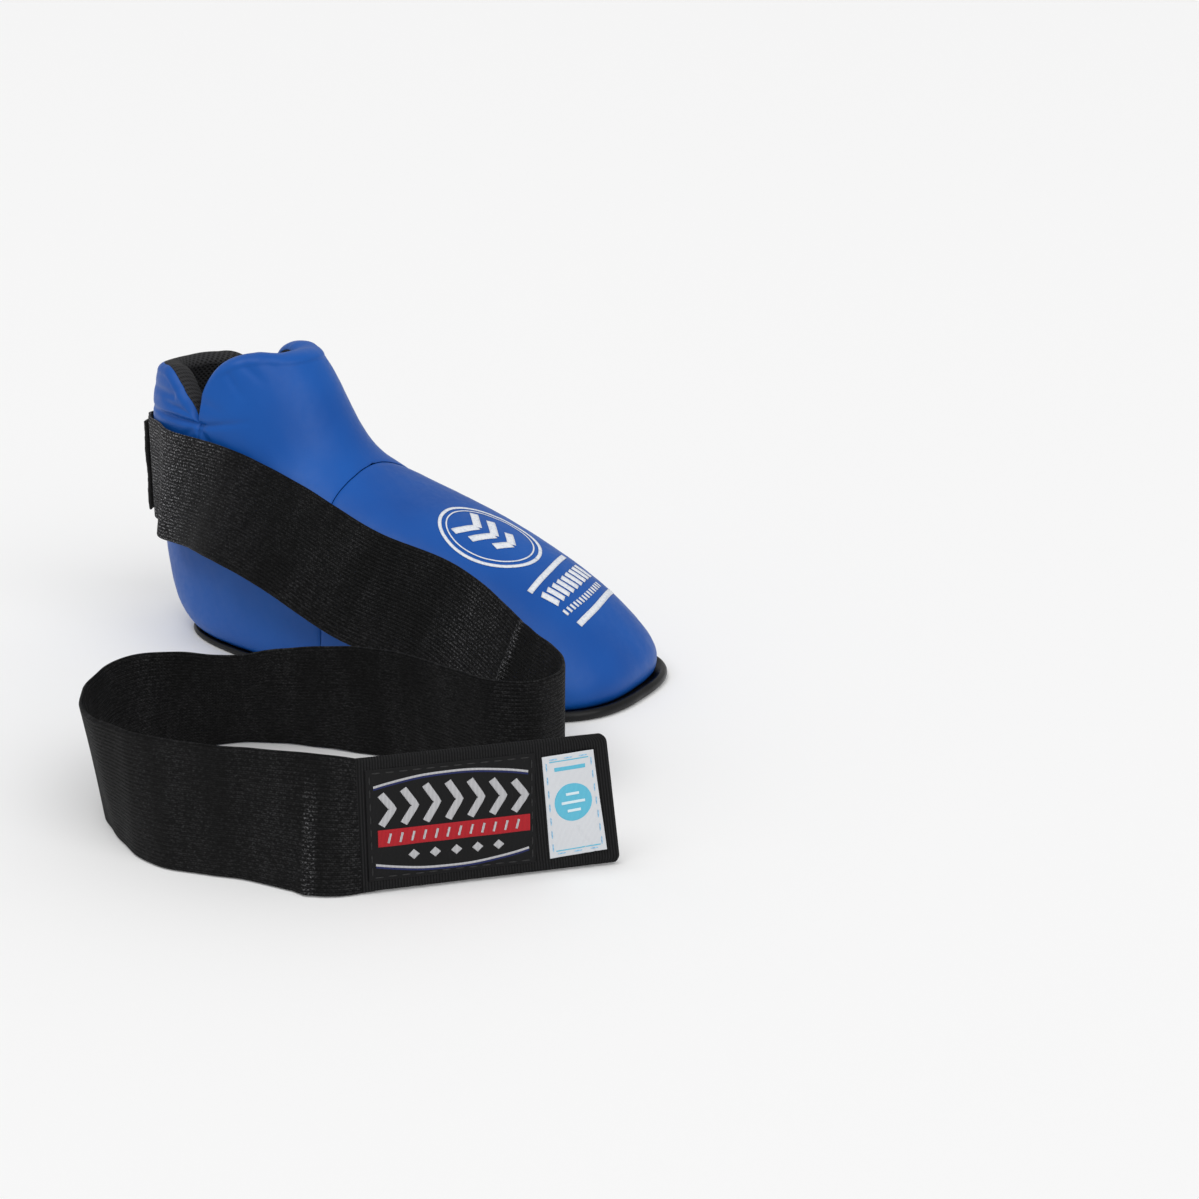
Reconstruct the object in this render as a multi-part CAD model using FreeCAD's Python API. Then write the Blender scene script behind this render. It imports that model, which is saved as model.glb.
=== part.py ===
"""Padded kickboxing foot guard with its long elastic strap laid open.

Millimetres, +Z up, +X towards the toes. The origin is on the floor, in the middle of the welt's
bottom face at the back of the heel. Every separate piece is a solid of its own in parts/NODE.step.
"""

import FreeCAD, Part

import math
import os

Vector = FreeCAD.Vector

# ---- driving dimensions: the padded body ----
guard_length = 260.0  # cover's lower edge, heel to toe
guard_width = 111.0  # cover at the ball of the foot
body_height = 152.0  # cover's lower edge to the collar's full height
cover_skin = 1.2  # coated synthetic leather
foam_pad = 11.0
lining_skin = 1.2  # spacer mesh
welt_height = 3.0  # strip under the cover's lower edge
welt_inside = 7.0  # how far the strip reaches under the padding
welt_at_toe = 6.0  # how far it stands out in front
welt_at_heel = 1.5
welt_round = 1.2
collar_rear_drop = 11.5  # the collar's back edge below body_height
collar_slope = 0.12  # rise of the collar's edge per mm forwards

# ---- driving dimensions: seams, notch and cuff ----
notch_x = 29.0  # side notch's tip and the seam below it, from the origin
notch_drop = 38.0  # notch's tip and the heel cuff's fold, below the collar's full height
notch_rear_run = 36.0  # how far the notch's back edge runs back at the top
notch_front_run = 26.0
ankle_seam_x = 111.0  # seam across the instep
fold_gap = 0.3

# ---- driving dimensions: the strap ----
strap_width = 55.0
strap_thick = 1.8
strap_below_fold = 3.5  # upper edge at the heel, under the cuff's fold
strap_off_heel = 1.2  # clear space between strap and cover
strap_off_side = 2.5
strap_off_floor = 0.4
hinge_gap = 2.4  # free webbing left out where the strap bends
first_bend_ahead = 27.0  # first bend's place beyond the toe and beside the guard
first_bend_beside = 68.5
tab_length = 104.0
tab_thick = 3.0
tab_skew = 6.0  # the tab's end is cut back this much at the top
tab_turn = 44.5  # degrees from the guard's own length
seam_turn = 13.5  # the same for the webbing that the tab is sewn to

# ---- driving dimensions: what is sewn to the strap ----
hook_thick = 1.5
hook_length = 70.0
hook_height = 47.0
hook_end_margin = 8.0
label_thick = 0.8
label_height = 46.0
label_length = 66.0
label_margin = 3.5  # from the seam
tag_thick = 0.5
tag_width = 23.0
tag_height = 43.0
tag_gap = 4.0  # between label and tag
loop_panel_height = 48.0
loop_panel_thick = 1.5
stitch_length = 3.0
stitch_pitch = 5.0
stitch_width = 0.7
stitch_thick = 0.4
stitch_inset = 1.6  # stitches' distance in from a sewn edge
stitch_clear = 0.25
panel_clear = 0.3  # between the loop panel and the webbing under it

# ---- driving dimensions: the elastic band under the toes ----
toe_band_behind_tip = 64.0
toe_band_width = 25.0
toe_band_thick = 1.4
toe_band_height = 8.0
toe_band_clear = 0.3

# Level outlines of the cover from the lower edge up: height as a share of body_height; back, front
# and widest place as shares of guard_length; half width as a share of guard_width; and how square
# the front and back ends are, as a superellipse's exponent.
LEVELS = [
    (0.000, 0.000, 1.000, 0.727, 0.489, 2.95, 2.50),
    (0.066, -0.031, 1.004, 0.712, 0.504, 2.80, 2.50),
    (0.164, -0.058, 0.970, 0.673, 0.489, 2.60, 2.40),
    (0.263, -0.073, 0.908, 0.623, 0.460, 2.42, 2.30),
    (0.362, -0.081, 0.815, 0.558, 0.428, 2.25, 2.20),
    (0.461, -0.085, 0.688, 0.458, 0.396, 2.10, 2.20),
    (0.539, -0.085, 0.552, 0.342, 0.374, 2.00, 2.20),
    (0.612, -0.085, 0.444, 0.238, 0.360, 2.00, 2.20),
    (0.691, -0.081, 0.388, 0.181, 0.347, 2.00, 2.20),
    (0.789, -0.077, 0.354, 0.154, 0.333, 2.00, 2.20),
    (0.888, -0.065, 0.322, 0.138, 0.306, 2.00, 2.20),
    (1.000, -0.035, 0.273, 0.123, 0.261, 2.00, 2.20),
]
OUTLINE_POINTS = 28
STEEPEST = 3.2  # most that a sloping wall's thickness is stretched on the level

cover_back_x = -1.0  # the cover's lower edge at the heel, beside the origin
notch_height = welt_height + body_height - notch_drop
strap_top_at_heel = notch_height - strap_below_fold
box_reach = 600.0  # larger than the whole object


# ---- the body's shape ----
def level_values(z):
    """Back, front, widest x, half width and exponents of the cover's outline at height z."""
    share = min(max((z - welt_height) / body_height, 0.0), 1.0)
    i = 0
    while i < len(LEVELS) - 2 and share > LEVELS[i + 1][0]:
        i += 1
    low, high = LEVELS[i], LEVELS[i + 1]
    t = (share - low[0]) / (high[0] - low[0])
    back, front, wide, half, n_front, n_back = (a + t * (b - a) for a, b in zip(low[1:], high[1:]))
    return (
        cover_back_x + back * guard_length,
        cover_back_x + front * guard_length,
        cover_back_x + wide * guard_length,
        half * guard_width,
        n_front,
        n_back,
    )


def profile_stretch(z, place, side):
    """How much further a sloping wall reaches on the level than through its thickness."""
    rise = 4.0
    low, high = max(z - rise, welt_height), min(z + rise, welt_height + body_height)
    lean = side * (level_values(high)[place] - level_values(low)[place]) / (high - low)
    return min(math.hypot(1.0, lean), STEEPEST)


def outline_point(z, angle, depth=0.0):
    """The outline at height z, depth inside the cover; angle 0 is the toe, pi the heel."""
    back, front, wide, half, n_front, n_back = level_values(z)
    back += depth * profile_stretch(z, 0, 1)
    front -= depth * profile_stretch(z, 1, 1)
    half -= depth * profile_stretch(z, 3, 1)
    c, s = math.cos(angle), math.sin(angle)
    reach, n = (front - wide, n_front) if c > 0 else (wide - back, n_back)
    x = wide + reach * math.copysign(abs(c) ** (2 / n), c)
    return Vector(x, half * math.copysign(abs(s) ** (2 / n), s), z)


def outward(z, angle):
    """The outline's level outward direction, from points a little to each side."""
    step = math.radians(2.0)
    along = outline_point(z, angle + step) - outline_point(z, angle - step)
    return Vector(along.y, -along.x, 0).normalize()


def outline_wire(z, depth):
    """Closed spline of the outline at height z, depth inside the cover."""
    turns = [math.pi + 2 * math.pi * i / OUTLINE_POINTS for i in range(OUTLINE_POINTS)]
    curve = Part.BSplineCurve()
    curve.interpolate(Points=[outline_point(z, a, depth) for a in turns], PeriodicFlag=True)
    return Part.Wire(curve.toShape())


def body_solid(depth):
    """The body's solid, depth inside the cover's face."""
    wires = [outline_wire(welt_height + level[0] * body_height, depth) for level in LEVELS]
    return Part.makeLoft(wires, True, False)


def side_y(x, z):
    """The cover's half width at a place on the side."""
    back, front, wide, half, n_front, n_back = level_values(z)
    reach, n = (front - wide, n_front) if x > wide else (wide - back, n_back)
    share = min(abs(x - wide) / reach, 1.0)
    return half * (1 - share**n) ** (1 / n)


# ---- cutting tools ----
def block(x_low, x_high, z_low, z_high):
    """Box through the whole width."""
    corner = Vector(x_low, -box_reach / 2, z_low)
    return Part.makeBox(x_high - x_low, box_reach, z_high - z_low, corner)


def side_prism(points):
    """Prism through the whole width, from points (x, z)."""
    corners = [Vector(x, -box_reach / 2, z) for x, z in points]
    face = Part.Face(Part.makePolygon(corners + corners[:1]))
    return face.extrude(Vector(0, box_reach, 0))


def above_collar():
    """Everything above the collar's sloping edge."""
    rear = welt_height + body_height - collar_rear_drop
    low_x, high_x = -box_reach / 2, box_reach / 2
    return side_prism(
        [
            (low_x, rear + collar_slope * low_x),
            (high_x, rear + collar_slope * high_x),
            (high_x, box_reach),
            (low_x, box_reach),
        ]
    )


def side_notch():
    """V between the heel cuff and the front of the collar, with a rounded front edge."""
    top = welt_height + body_height
    rise = top - notch_height
    corners = [
        (notch_x, notch_height),
        (notch_x + 0.08 * notch_front_run, notch_height + 0.35 * rise),
        (notch_x + 0.35 * notch_front_run, notch_height + 0.65 * rise),
        (notch_x + notch_front_run, notch_height + 0.95 * rise),
        (notch_x + notch_front_run, top + rise),
        (notch_x - notch_rear_run, top + rise),
        (notch_x - notch_rear_run, top),
    ]
    return side_prism(corners)


def zones():
    """The three padded panels' zones: toe, ankle with heel, and the cuff that folds back."""
    top = welt_height + body_height
    low, high = -box_reach / 2, box_reach / 2
    rear = block(low, ankle_seam_x, 0, top)
    return {
        "toe": block(ankle_seam_x, high, 0, top),
        "ankle": rear.cut(block(low, notch_x, notch_height, top)),
        "cuff": block(low, notch_x, notch_height + fold_gap, top),
    }


def padded_panels():
    """Cover, foam and lining of each panel, as separate solids that lie face to face."""
    depths = [0.0, cover_skin, cover_skin + foam_pad, cover_skin + foam_pad + lining_skin]
    shells = [body_solid(depth) for depth in depths]
    trim = above_collar().fuse(side_notch())
    made = {}
    for layer, outside, inside in zip(("cover", "foam", "lining"), shells, shells[1:]):
        shell = outside.cut(inside).cut(trim)
        for zone, room in zones().items():
            made[f"{zone}_{layer}"] = shell.common(room)
    return made, shells[-1]


# ---- the welt under the lower edge ----
def welt():
    """Flat strip under the padding's lower edge, standing out furthest at the toe."""

    def ring(reach_out):
        points = []
        for i in range(OUTLINE_POINTS):
            angle = math.pi + 2 * math.pi * i / OUTLINE_POINTS
            point = outline_point(welt_height, angle)
            points.append(point + outward(welt_height, angle) * reach_out(point.x))
        curve = Part.BSplineCurve()
        curve.interpolate(Points=[Vector(p.x, p.y, 0) for p in points], PeriodicFlag=True)
        return Part.Face(Part.Wire(curve.toShape())).extrude(Vector(0, 0, welt_height))

    def standing_out(x):
        share = min(max((x - cover_back_x) / guard_length, 0.0), 1.0)
        return welt_at_heel + (welt_at_toe - welt_at_heel) * share

    outer = ring(standing_out)
    rims = [e for e in outer.Edges if abs(e.BoundBox.ZLength) < 0.01]
    return outer.makeFillet(welt_round, rims).cut(ring(lambda x: -welt_inside))


# ---- toe band ----
def toe_band(cavity):
    """Elastic band across the open sole, under the toes, sewn to the lining at each side."""
    rear = cover_back_x + guard_length - toe_band_behind_tip
    room = block(
        rear,
        rear + toe_band_width,
        toe_band_height,
        toe_band_height + toe_band_thick,
    ).common(cavity)
    box = room.BoundBox
    scale = (box.YLength - 2 * toe_band_clear) / box.YLength
    squeeze = FreeCAD.Matrix()
    squeeze.scale(Vector(1, scale, 1))
    return room.transformGeometry(squeeze)


# ---- the strap ----
def smooth(points, count):
    """Evenly spread points on a spline through the given points."""
    curve = Part.BSplineCurve()
    curve.interpolate(points)
    first, last = curve.FirstParameter, curve.LastParameter
    return [curve.value(first + (last - first) * i / (count - 1)) for i in range(count)]


def webbing(upper, lower, thick, count):
    """Ruled strip of webbing whose middle surface runs between two edges."""
    upper, lower = smooth(upper, count), smooth(lower, count)
    sections = []
    for i in range(count):
        before, after = max(i - 1, 0), min(i + 1, count - 1)
        along = (upper[after] + lower[after]) - (upper[before] + lower[before])
        half = along.cross(upper[i] - lower[i]).normalize() * (thick / 2)
        corners = [upper[i] + half, lower[i] + half, lower[i] - half, upper[i] - half]
        sections.append(Part.makePolygon(corners + corners[:1]))
    return Part.makeLoft(sections, True, True)


# The first run, along the guard's near side. Each station of its upper edge: x as a share of the
# cover's length, distance beside the cover's widest place (None where it lies against the cover),
# height as a share of the drop from the heel to the first bend, how far the webbing leans out at
# its lower edge and how far its cross line slants back, both in degrees.
SIDE_RUN = [
    (0.023, None, 0.99, 5, 2),
    (0.119, None, 0.96, 12, 7),
    (0.258, None, 0.84, 40, 7),
    (0.400, None, 0.60, 46, 10),
    (0.565, None, 0.36, 31, 11),
    (0.704, -9.5, 0.26, 29, 14),
    (0.835, 1.5, 0.10, 23, 15),
    (0.970, 25.0, 0.00, 14, 12),
    (1.038, 38.5, 0.00, 8, 6),
]
HEEL_ARC = (150, 165, 180, 195, 208, 222)  # degrees round the heel, from the far side


def heel_line(degrees, low, high, off):
    """Upright line off the heel's face, from its foot to its top; 180 is the heel's middle."""
    angle = math.radians(degrees)
    middle = outline_point((low + high) / 2, angle)
    out = outward(middle.z, angle)
    levels = [low + (high - low) * i / 6 for i in range(7)]
    round_heel = [math.radians(d) for d in range(90, 271, 6)]
    furthest = max(outline_point(z, a).dot(out) for z in levels for a in round_heel)
    place = middle + out * (furthest - middle.dot(out) + off)
    return Vector(place.x, place.y, low), Vector(place.x, place.y, high), out


def first_bend():
    """Foot of the upright line about which the webbing's first bend folds."""
    across = guard_width / 2 + first_bend_beside
    return Vector(cover_back_x + guard_length + first_bend_ahead, -across, strap_off_floor)


def clear_of_cover(top, across):
    """Moves a cross line of webbing sideways until its whole width clears the cover."""
    steps = 12
    reach = 0.0
    for i in range(steps + 1):
        point = top + across * (strap_width * i / steps)
        beside = side_y(point.x, point.z) + strap_off_side + strap_thick / 2
        reach = max(reach, beside + point.y - top.y)
    return Vector(top.x, -reach, top.z)


def side_run_edges():
    """Upper and lower edges of the first run, from the heel's far side to the first bend."""
    off = strap_off_heel + strap_thick / 2
    high = strap_top_at_heel
    lines = [heel_line(degrees, high - strap_width, high, off) for degrees in HEEL_ARC]
    lower, upper = [line[0] for line in lines], [line[1] for line in lines]
    for share, beside, level, lean, slant in SIDE_RUN:
        lean, slant = math.radians(lean), math.radians(slant)
        out, down = math.sin(lean) * math.cos(slant), math.cos(lean) * math.cos(slant)
        across = Vector(-math.sin(slant), -out, -down)
        rise = max(level * (high - strap_width), (down - 1) * strap_width + strap_off_floor)
        x = cover_back_x + share * guard_length
        top = Vector(x, -(guard_width / 2 + (beside or 0)), rise + strap_width)
        lying = clear_of_cover(top, across)
        if beside is None or lying.y < top.y:
            top = lying
        upper.append(top)
        lower.append(top + across * strap_width)
    end = first_bend() + Vector(0, hinge_gap / 2, 0)
    for short_of_end in (6.0, 0.0):
        foot = end + Vector(-short_of_end * 0.15, short_of_end, 0)
        upper.append(foot + Vector(0, 0, strap_width))
        lower.append(foot)
    return upper, lower


# The loop that lies on the floor, as places of the webbing's middle line from the first bend and
# its lean to the left of its run in degrees. The second bend is between the two runs.
REAR_RUN = [
    (0, -1.2, 0),
    (-2, -10, 0),
    (-11, -17, 0),
    (-23, -18, 2),
    (-36, -14.5, 4),
    (-61, -7, 6),
    (-82, -3, 9),
    (-109, -8, 13),
    (-132, -15, 17),
    (-153, -28, 19),
    (-168, -45, 12),
    (-173, -73.8, 0),
]
FRONT_RUN = [
    (-173, -76.2, 0),
    (-169, -90, -1),
    (-159.5, -106, -6),
    (-150, -117, -8),
    (-140, -124.5, -9),
    (-123, -132.3, -5),
    (-111, -136, -2),
    (-84, -135, 0),
    (-59, -129, 2),
    (-19.5, -119.5, 3),
]


def floor_run(stations, count):
    """A run of webbing standing on its edge on the floor."""
    places = [first_bend() + Vector(x, y, 0) for x, y, lean in stations]
    upper, lower = [], []
    for i, place in enumerate(places):
        along = places[min(i + 1, len(places) - 1)] - places[max(i - 1, 0)]
        left = Vector(-along.y, along.x, 0).normalize()
        lean = math.radians(stations[i][2])
        shift = left * (strap_width / 2 * math.sin(lean))
        upper.append(place + shift + Vector(0, 0, strap_width * math.cos(lean)))
        lower.append(place - shift)
    return webbing(upper, lower, strap_thick, count)


# ---- the tab at the strap's end ----
def tab_seam():
    """Foot of the upright line where the tab is sewn on and folds."""
    x, y, lean = FRONT_RUN[-1]
    turn = math.radians(seam_turn)
    along = Vector(math.cos(turn), math.sin(turn), 0)
    return first_bend() + Vector(x, y, 0) + along * (hinge_gap / 2)


def on_tab(shape):
    """Carries a shape from the tab's own axes: X along it, Y to its back face, Z up."""
    placed = shape.copy()
    placed.rotate(Vector(0, 0, 0), Vector(0, 0, 1), tab_turn)
    placed.translate(tab_seam())
    return placed


def tab():
    corners = [
        Vector(hinge_gap / 2, 0, 0),
        Vector(tab_length, 0, 0),
        Vector(tab_length - tab_skew, 0, strap_width),
        Vector(hinge_gap / 2, 0, strap_width),
    ]
    face = Part.Face(Part.makePolygon(corners + corners[:1]))
    return on_tab(face.extrude(Vector(0, tab_thick, 0)).translate(Vector(0, -tab_thick / 2, 0)))


def tab_plate(left, length, height, thick, back=False):
    """Flat piece on the tab's face, centred on the strap's width."""
    y = tab_thick / 2 if back else -tab_thick / 2 - thick
    return Part.makeBox(length, thick, height, Vector(left, y, (strap_width - height) / 2))


def stitch_marks(length, height):
    """Places round a sewn rectangle: (x, z, upright), from its lower left corner."""
    inner_x, inner_z = length - 2 * stitch_inset, height - 2 * stitch_inset
    across = max(int(inner_x / stitch_pitch), 1)
    up = max(int(inner_z / stitch_pitch), 1)
    marks = []
    for i in range(across):
        x = stitch_inset + inner_x * (i + 0.5) / across
        marks += [(x, stitch_inset, False), (x, height - stitch_inset, False)]
    for i in range(up):
        z = stitch_inset + inner_z * (i + 0.5) / up
        marks += [(stitch_inset, z, True), (length - stitch_inset, z, True)]
    return marks


def plate_stitches(left, length, height, thick):
    """Stitches on the face of a plate on the tab's front."""
    y = -tab_thick / 2 - thick - stitch_thick
    low = (strap_width - height) / 2
    stitches = []
    for x, z, upright in stitch_marks(length, height):
        wide, high = (stitch_width, stitch_length) if upright else (stitch_length, stitch_width)
        corner = Vector(left + x - wide / 2, y, low + z - high / 2)
        stitches.append(Part.makeBox(wide, stitch_thick, high, corner))
    return stitches


# ---- the loop panel at the heel ----
PANEL_ARC = (156, 168, 180, 192, 202)  # degrees round the heel
panel_top = strap_top_at_heel - (strap_width - loop_panel_height) / 2
panel_low = panel_top - loop_panel_height
panel_face = strap_off_heel + strap_thick + panel_clear + loop_panel_thick


def loop_panel():
    """Panel sewn over the strap's start, outside it."""
    off = panel_face - loop_panel_thick / 2
    lines = [heel_line(degrees, panel_low, panel_top, off) for degrees in PANEL_ARC]
    return webbing([line[1] for line in lines], [line[0] for line in lines], loop_panel_thick, 24)


def panel_stitches():
    """Stitches round the loop panel, standing on its outer face."""
    off = panel_face + stitch_clear + stitch_thick / 2
    first, last = PANEL_ARC[0], PANEL_ARC[-1]
    ends = [heel_line(degrees, panel_low, panel_top, off)[0] for degrees in (first, last)]
    length = (ends[0] - ends[1]).Length
    stitches = []
    for x, z, upright in stitch_marks(length, loop_panel_height):
        degrees = first + (last - first) * x / length
        foot, top, out = heel_line(degrees, panel_low, panel_top, off)
        wide, high = (stitch_width, stitch_length) if upright else (stitch_length, stitch_width)
        corner = Vector(-stitch_thick / 2, -wide / 2, z - high / 2)
        stitch = Part.makeBox(stitch_thick, wide, high, corner)
        stitch.rotate(Vector(0, 0, 0), Vector(0, 0, 1), math.degrees(math.atan2(out.y, out.x)))
        stitch.translate(foot)
        stitches.append(stitch)
    return stitches


def strap_pieces():
    """The strap's runs, tab and sewn-on pieces."""
    tag_left = label_margin + label_length + tag_gap
    label = (label_margin, label_length, label_height, label_thick)
    tag = (tag_left, tag_width, tag_height, tag_thick)
    hook_left = tab_length - tab_skew - hook_end_margin - hook_length
    upper, lower = side_run_edges()
    return {
        "strap_side_run": webbing(upper, lower, strap_thick, 40),
        "strap_rear_run": floor_run(REAR_RUN, 32),
        "strap_front_run": floor_run(FRONT_RUN, 28),
        "strap_tab": tab(),
        "woven_label": on_tab(tab_plate(*label)),
        "approval_tag": on_tab(tab_plate(*tag)),
        "hook_panel": on_tab(tab_plate(hook_left, hook_length, hook_height, hook_thick, True)),
        "tab_stitches": on_tab(Part.makeCompound(plate_stitches(*label) + plate_stitches(*tag))),
        "heel_loop_panel": loop_panel(),
        "heel_stitches": Part.makeCompound(panel_stitches()),
    }


def main():
    pieces, cavity = padded_panels()
    pieces["rim_welt"] = welt()
    pieces["toe_band"] = toe_band(cavity)
    pieces.update(strap_pieces())
    os.makedirs("parts", exist_ok=True)
    for name, shape in pieces.items():
        shape.exportStep(f"parts/{name}.step")
        print(name, len(shape.Solids), round(shape.Volume))
    for name, point in (("first bend", first_bend()), ("tab seam", tab_seam())):
        print(name, round(point.x, 2), round(point.y, 2))


main()
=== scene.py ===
"""Looks of a padded kickboxing foot guard with its elastic strap laid open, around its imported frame."""

import math

import bmesh
import bpy
import numpy as np
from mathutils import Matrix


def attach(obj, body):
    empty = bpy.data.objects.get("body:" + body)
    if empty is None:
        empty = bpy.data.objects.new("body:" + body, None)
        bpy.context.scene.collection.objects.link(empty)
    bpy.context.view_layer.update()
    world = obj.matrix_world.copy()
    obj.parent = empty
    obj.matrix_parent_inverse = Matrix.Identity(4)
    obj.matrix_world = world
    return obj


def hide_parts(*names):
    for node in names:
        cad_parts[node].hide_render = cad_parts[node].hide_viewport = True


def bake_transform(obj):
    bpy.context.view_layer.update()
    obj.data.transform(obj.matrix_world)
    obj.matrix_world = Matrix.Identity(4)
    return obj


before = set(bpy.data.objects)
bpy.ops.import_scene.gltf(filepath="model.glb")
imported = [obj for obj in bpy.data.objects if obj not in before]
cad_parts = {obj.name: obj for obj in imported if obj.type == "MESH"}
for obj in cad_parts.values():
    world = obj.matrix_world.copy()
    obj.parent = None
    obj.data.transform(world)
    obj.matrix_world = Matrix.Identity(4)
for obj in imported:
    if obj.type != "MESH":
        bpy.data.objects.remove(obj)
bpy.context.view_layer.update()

# ---------------------------------------------------------------------------------------------
# Stage: a plain pale floor of studio paper under a pale sky, with two large soft lamps far away.
# The camera stands at the guard's near side, turned towards the toe and looking a little down.
# ---------------------------------------------------------------------------------------------
MM = 0.001
camera_place = (689.5 * MM, -822.3 * MM, 343.75 * MM)
camera_pitch = math.radians(90 - 17.6)
camera_turn = math.radians(28.7)
camera_lens = 61.28
floor_size = 60.0
floor_hex = "#FBFBFB"
sky_strength = 0.5


def linear(hex_colour):
    """An sRGB hex colour as linear red, green, blue and alpha: ((c + 0.055) / 1.055) ** 2.4."""
    channels = [int(hex_colour[i : i + 2], 16) / 255 for i in (1, 3, 5)]
    return [c / 12.92 if c <= 0.04045 else ((c + 0.055) / 1.055) ** 2.4 for c in channels] + [1.0]


def add_node(tree, kind, settings=None, links=None):
    """Adds a node. settings are its properties or input values, and links its inputs' sources."""
    made = tree.nodes.new(kind)
    for name, value in (settings or {}).items():
        if isinstance(name, str) and hasattr(made, name):
            setattr(made, name, value)
        else:
            made.inputs[name].default_value = value
    for name, source in (links or {}).items():
        tree.links.new(source, made.inputs[name])
    return made


def new_material(name, base_hex, roughness, **more):
    """A Principled material, with its tree and shader. more sets further inputs by name."""
    material = bpy.data.materials.new(name)
    material.use_nodes = True
    tree = material.node_tree
    shader = tree.nodes["Principled BSDF"]
    shader.inputs["Base Color"].default_value = linear(base_hex)
    shader.inputs["Roughness"].default_value = roughness
    for key, value in more.items():
        shader.inputs[key.replace("_", " ")].default_value = value
    return material, tree, shader


camera = bpy.data.objects.new("camera", bpy.data.cameras.new("camera"))
camera.data.lens = camera_lens
camera.data.clip_end = 200.0
camera.location = camera_place
camera.rotation_euler = (camera_pitch, 0.0, camera_turn)
bpy.context.scene.collection.objects.link(camera)
bpy.context.scene.camera = camera

half = floor_size / 2
floor_corners = [(-half, -half, 0), (half, -half, 0), (half, half, 0), (-half, half, 0)]
floor_mesh = bpy.data.meshes.new("floor")
floor_mesh.from_pydata(floor_corners, [], [(0, 1, 2, 3)])
floor = bpy.data.objects.new("floor", floor_mesh)
bpy.context.scene.collection.objects.link(floor)
# Seamless background paper: matt and nearly white
paper, _, _ = new_material("pale studio paper", floor_hex, 0.9)
floor_mesh.materials.append(paper)

world = bpy.data.worlds.new("studio")
bpy.context.scene.world = world
world.use_nodes = True
sky = world.node_tree.nodes["Background"]
sky.inputs["Color"].default_value = linear("#FFFFFF")
sky.inputs["Strength"].default_value = sky_strength
bpy.context.scene.view_settings.view_transform = "Standard"


def soft_lamp(name, towards, strength, spread):
    """A large soft lamp so far away that it lights the whole floor evenly; it shines along towards."""
    lamp = bpy.data.lights.new(name, "SUN")
    lamp.energy = strength
    lamp.angle = math.radians(spread)
    made = bpy.data.objects.new(name, lamp)
    bpy.context.scene.collection.objects.link(made)
    x, y, z = towards
    made.rotation_euler = (math.atan2(math.hypot(x, y), -z), 0.0, math.atan2(y, x) - math.pi / 2)


soft_lamp("key", (0.15, 0.4, -1.0), 0.95, 40)
soft_lamp("side", (-0.9, 0.45, -0.8), 1.0, 50)

# ---------------------------------------------------------------------------------------------
# The padded body's shape. Level outlines are stacked from the welt to the collar, and every
# panel, lining and sewn edge is laid on the faces that they make, at its own depth in the wall.
# ---------------------------------------------------------------------------------------------
guard_length = 260 * MM
guard_width = 111 * MM
body_height = 152 * MM
welt_height = 3 * MM
cover_back = -1 * MM
wall = 13.4 * MM  # leather, foam and lining together
steepest = 3.2  # limit of stretch(), where a wall lies nearly flat
# height share; back, front and widest place over the length; half width over the width;
# and the squareness of the front and back ends
LEVELS = np.array(
    [
        (0.000, 0.000, 1.000, 0.727, 0.489, 2.95, 2.50),
        (0.066, -0.031, 1.004, 0.712, 0.504, 2.80, 2.50),
        (0.164, -0.058, 0.970, 0.673, 0.489, 2.60, 2.40),
        (0.263, -0.073, 0.908, 0.623, 0.460, 2.42, 2.30),
        (0.362, -0.081, 0.815, 0.558, 0.428, 2.25, 2.20),
        (0.461, -0.085, 0.688, 0.458, 0.396, 2.10, 2.20),
        (0.539, -0.085, 0.552, 0.342, 0.374, 2.00, 2.20),
        (0.612, -0.085, 0.444, 0.238, 0.360, 2.00, 2.20),
        (0.691, -0.081, 0.388, 0.181, 0.347, 2.00, 2.20),
        (0.789, -0.077, 0.354, 0.154, 0.333, 2.00, 2.20),
        (0.888, -0.065, 0.322, 0.138, 0.306, 2.00, 2.20),
        (1.000, -0.035, 0.273, 0.123, 0.261, 2.00, 2.20),
    ]
)


def spline(knots, values, at):
    """Natural cubic spline: the knots' second derivatives solve the system that keeps slopes equal."""
    gap = np.diff(knots)
    inner = np.arange(1, len(knots) - 1)
    system = np.eye(len(knots))
    system[inner, inner - 1] = gap[:-1]
    system[inner, inner] = 2 * (gap[:-1] + gap[1:])
    system[inner, inner + 1] = gap[1:]
    slopes = np.diff(values, axis=0) / gap[:, None]
    right = np.zeros_like(values)
    right[1:-1] = 6 * np.diff(slopes, axis=0)
    bend = np.linalg.solve(system, right)
    i = np.clip(np.searchsorted(knots, at) - 1, 0, len(knots) - 2)
    h = gap[i][..., None]
    after, before = (at - knots[i])[..., None], (knots[i + 1] - at)[..., None]
    curved = (bend[i] * before**3 + bend[i + 1] * after**3) / (6 * h)
    straight = (values[i] / h - bend[i] * h / 6) * before
    return curved + straight + (values[i + 1] / h - bend[i + 1] * h / 6) * after


def level_values(z):
    """Back, front, widest x, half width and the two exponents of the outline at height z."""
    share = np.clip((z - welt_height) / body_height, 0, 1)
    row = spline(LEVELS[:, 0], LEVELS[:, 1:], share)
    xs = cover_back + row[..., :3] * guard_length
    return xs[..., 0], xs[..., 1], xs[..., 2], row[..., 3] * guard_width, row[..., 4], row[..., 5]


def stretch(z, item):
    """How much further a sloping wall reaches on the level: sqrt(1 + slope squared), limited."""
    low = np.maximum(z - 4 * MM, welt_height)
    high = np.minimum(z + 4 * MM, welt_height + body_height)
    slope = (level_values(high)[item] - level_values(low)[item]) / (high - low)
    return np.minimum(np.hypot(1, slope), steepest)


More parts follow.
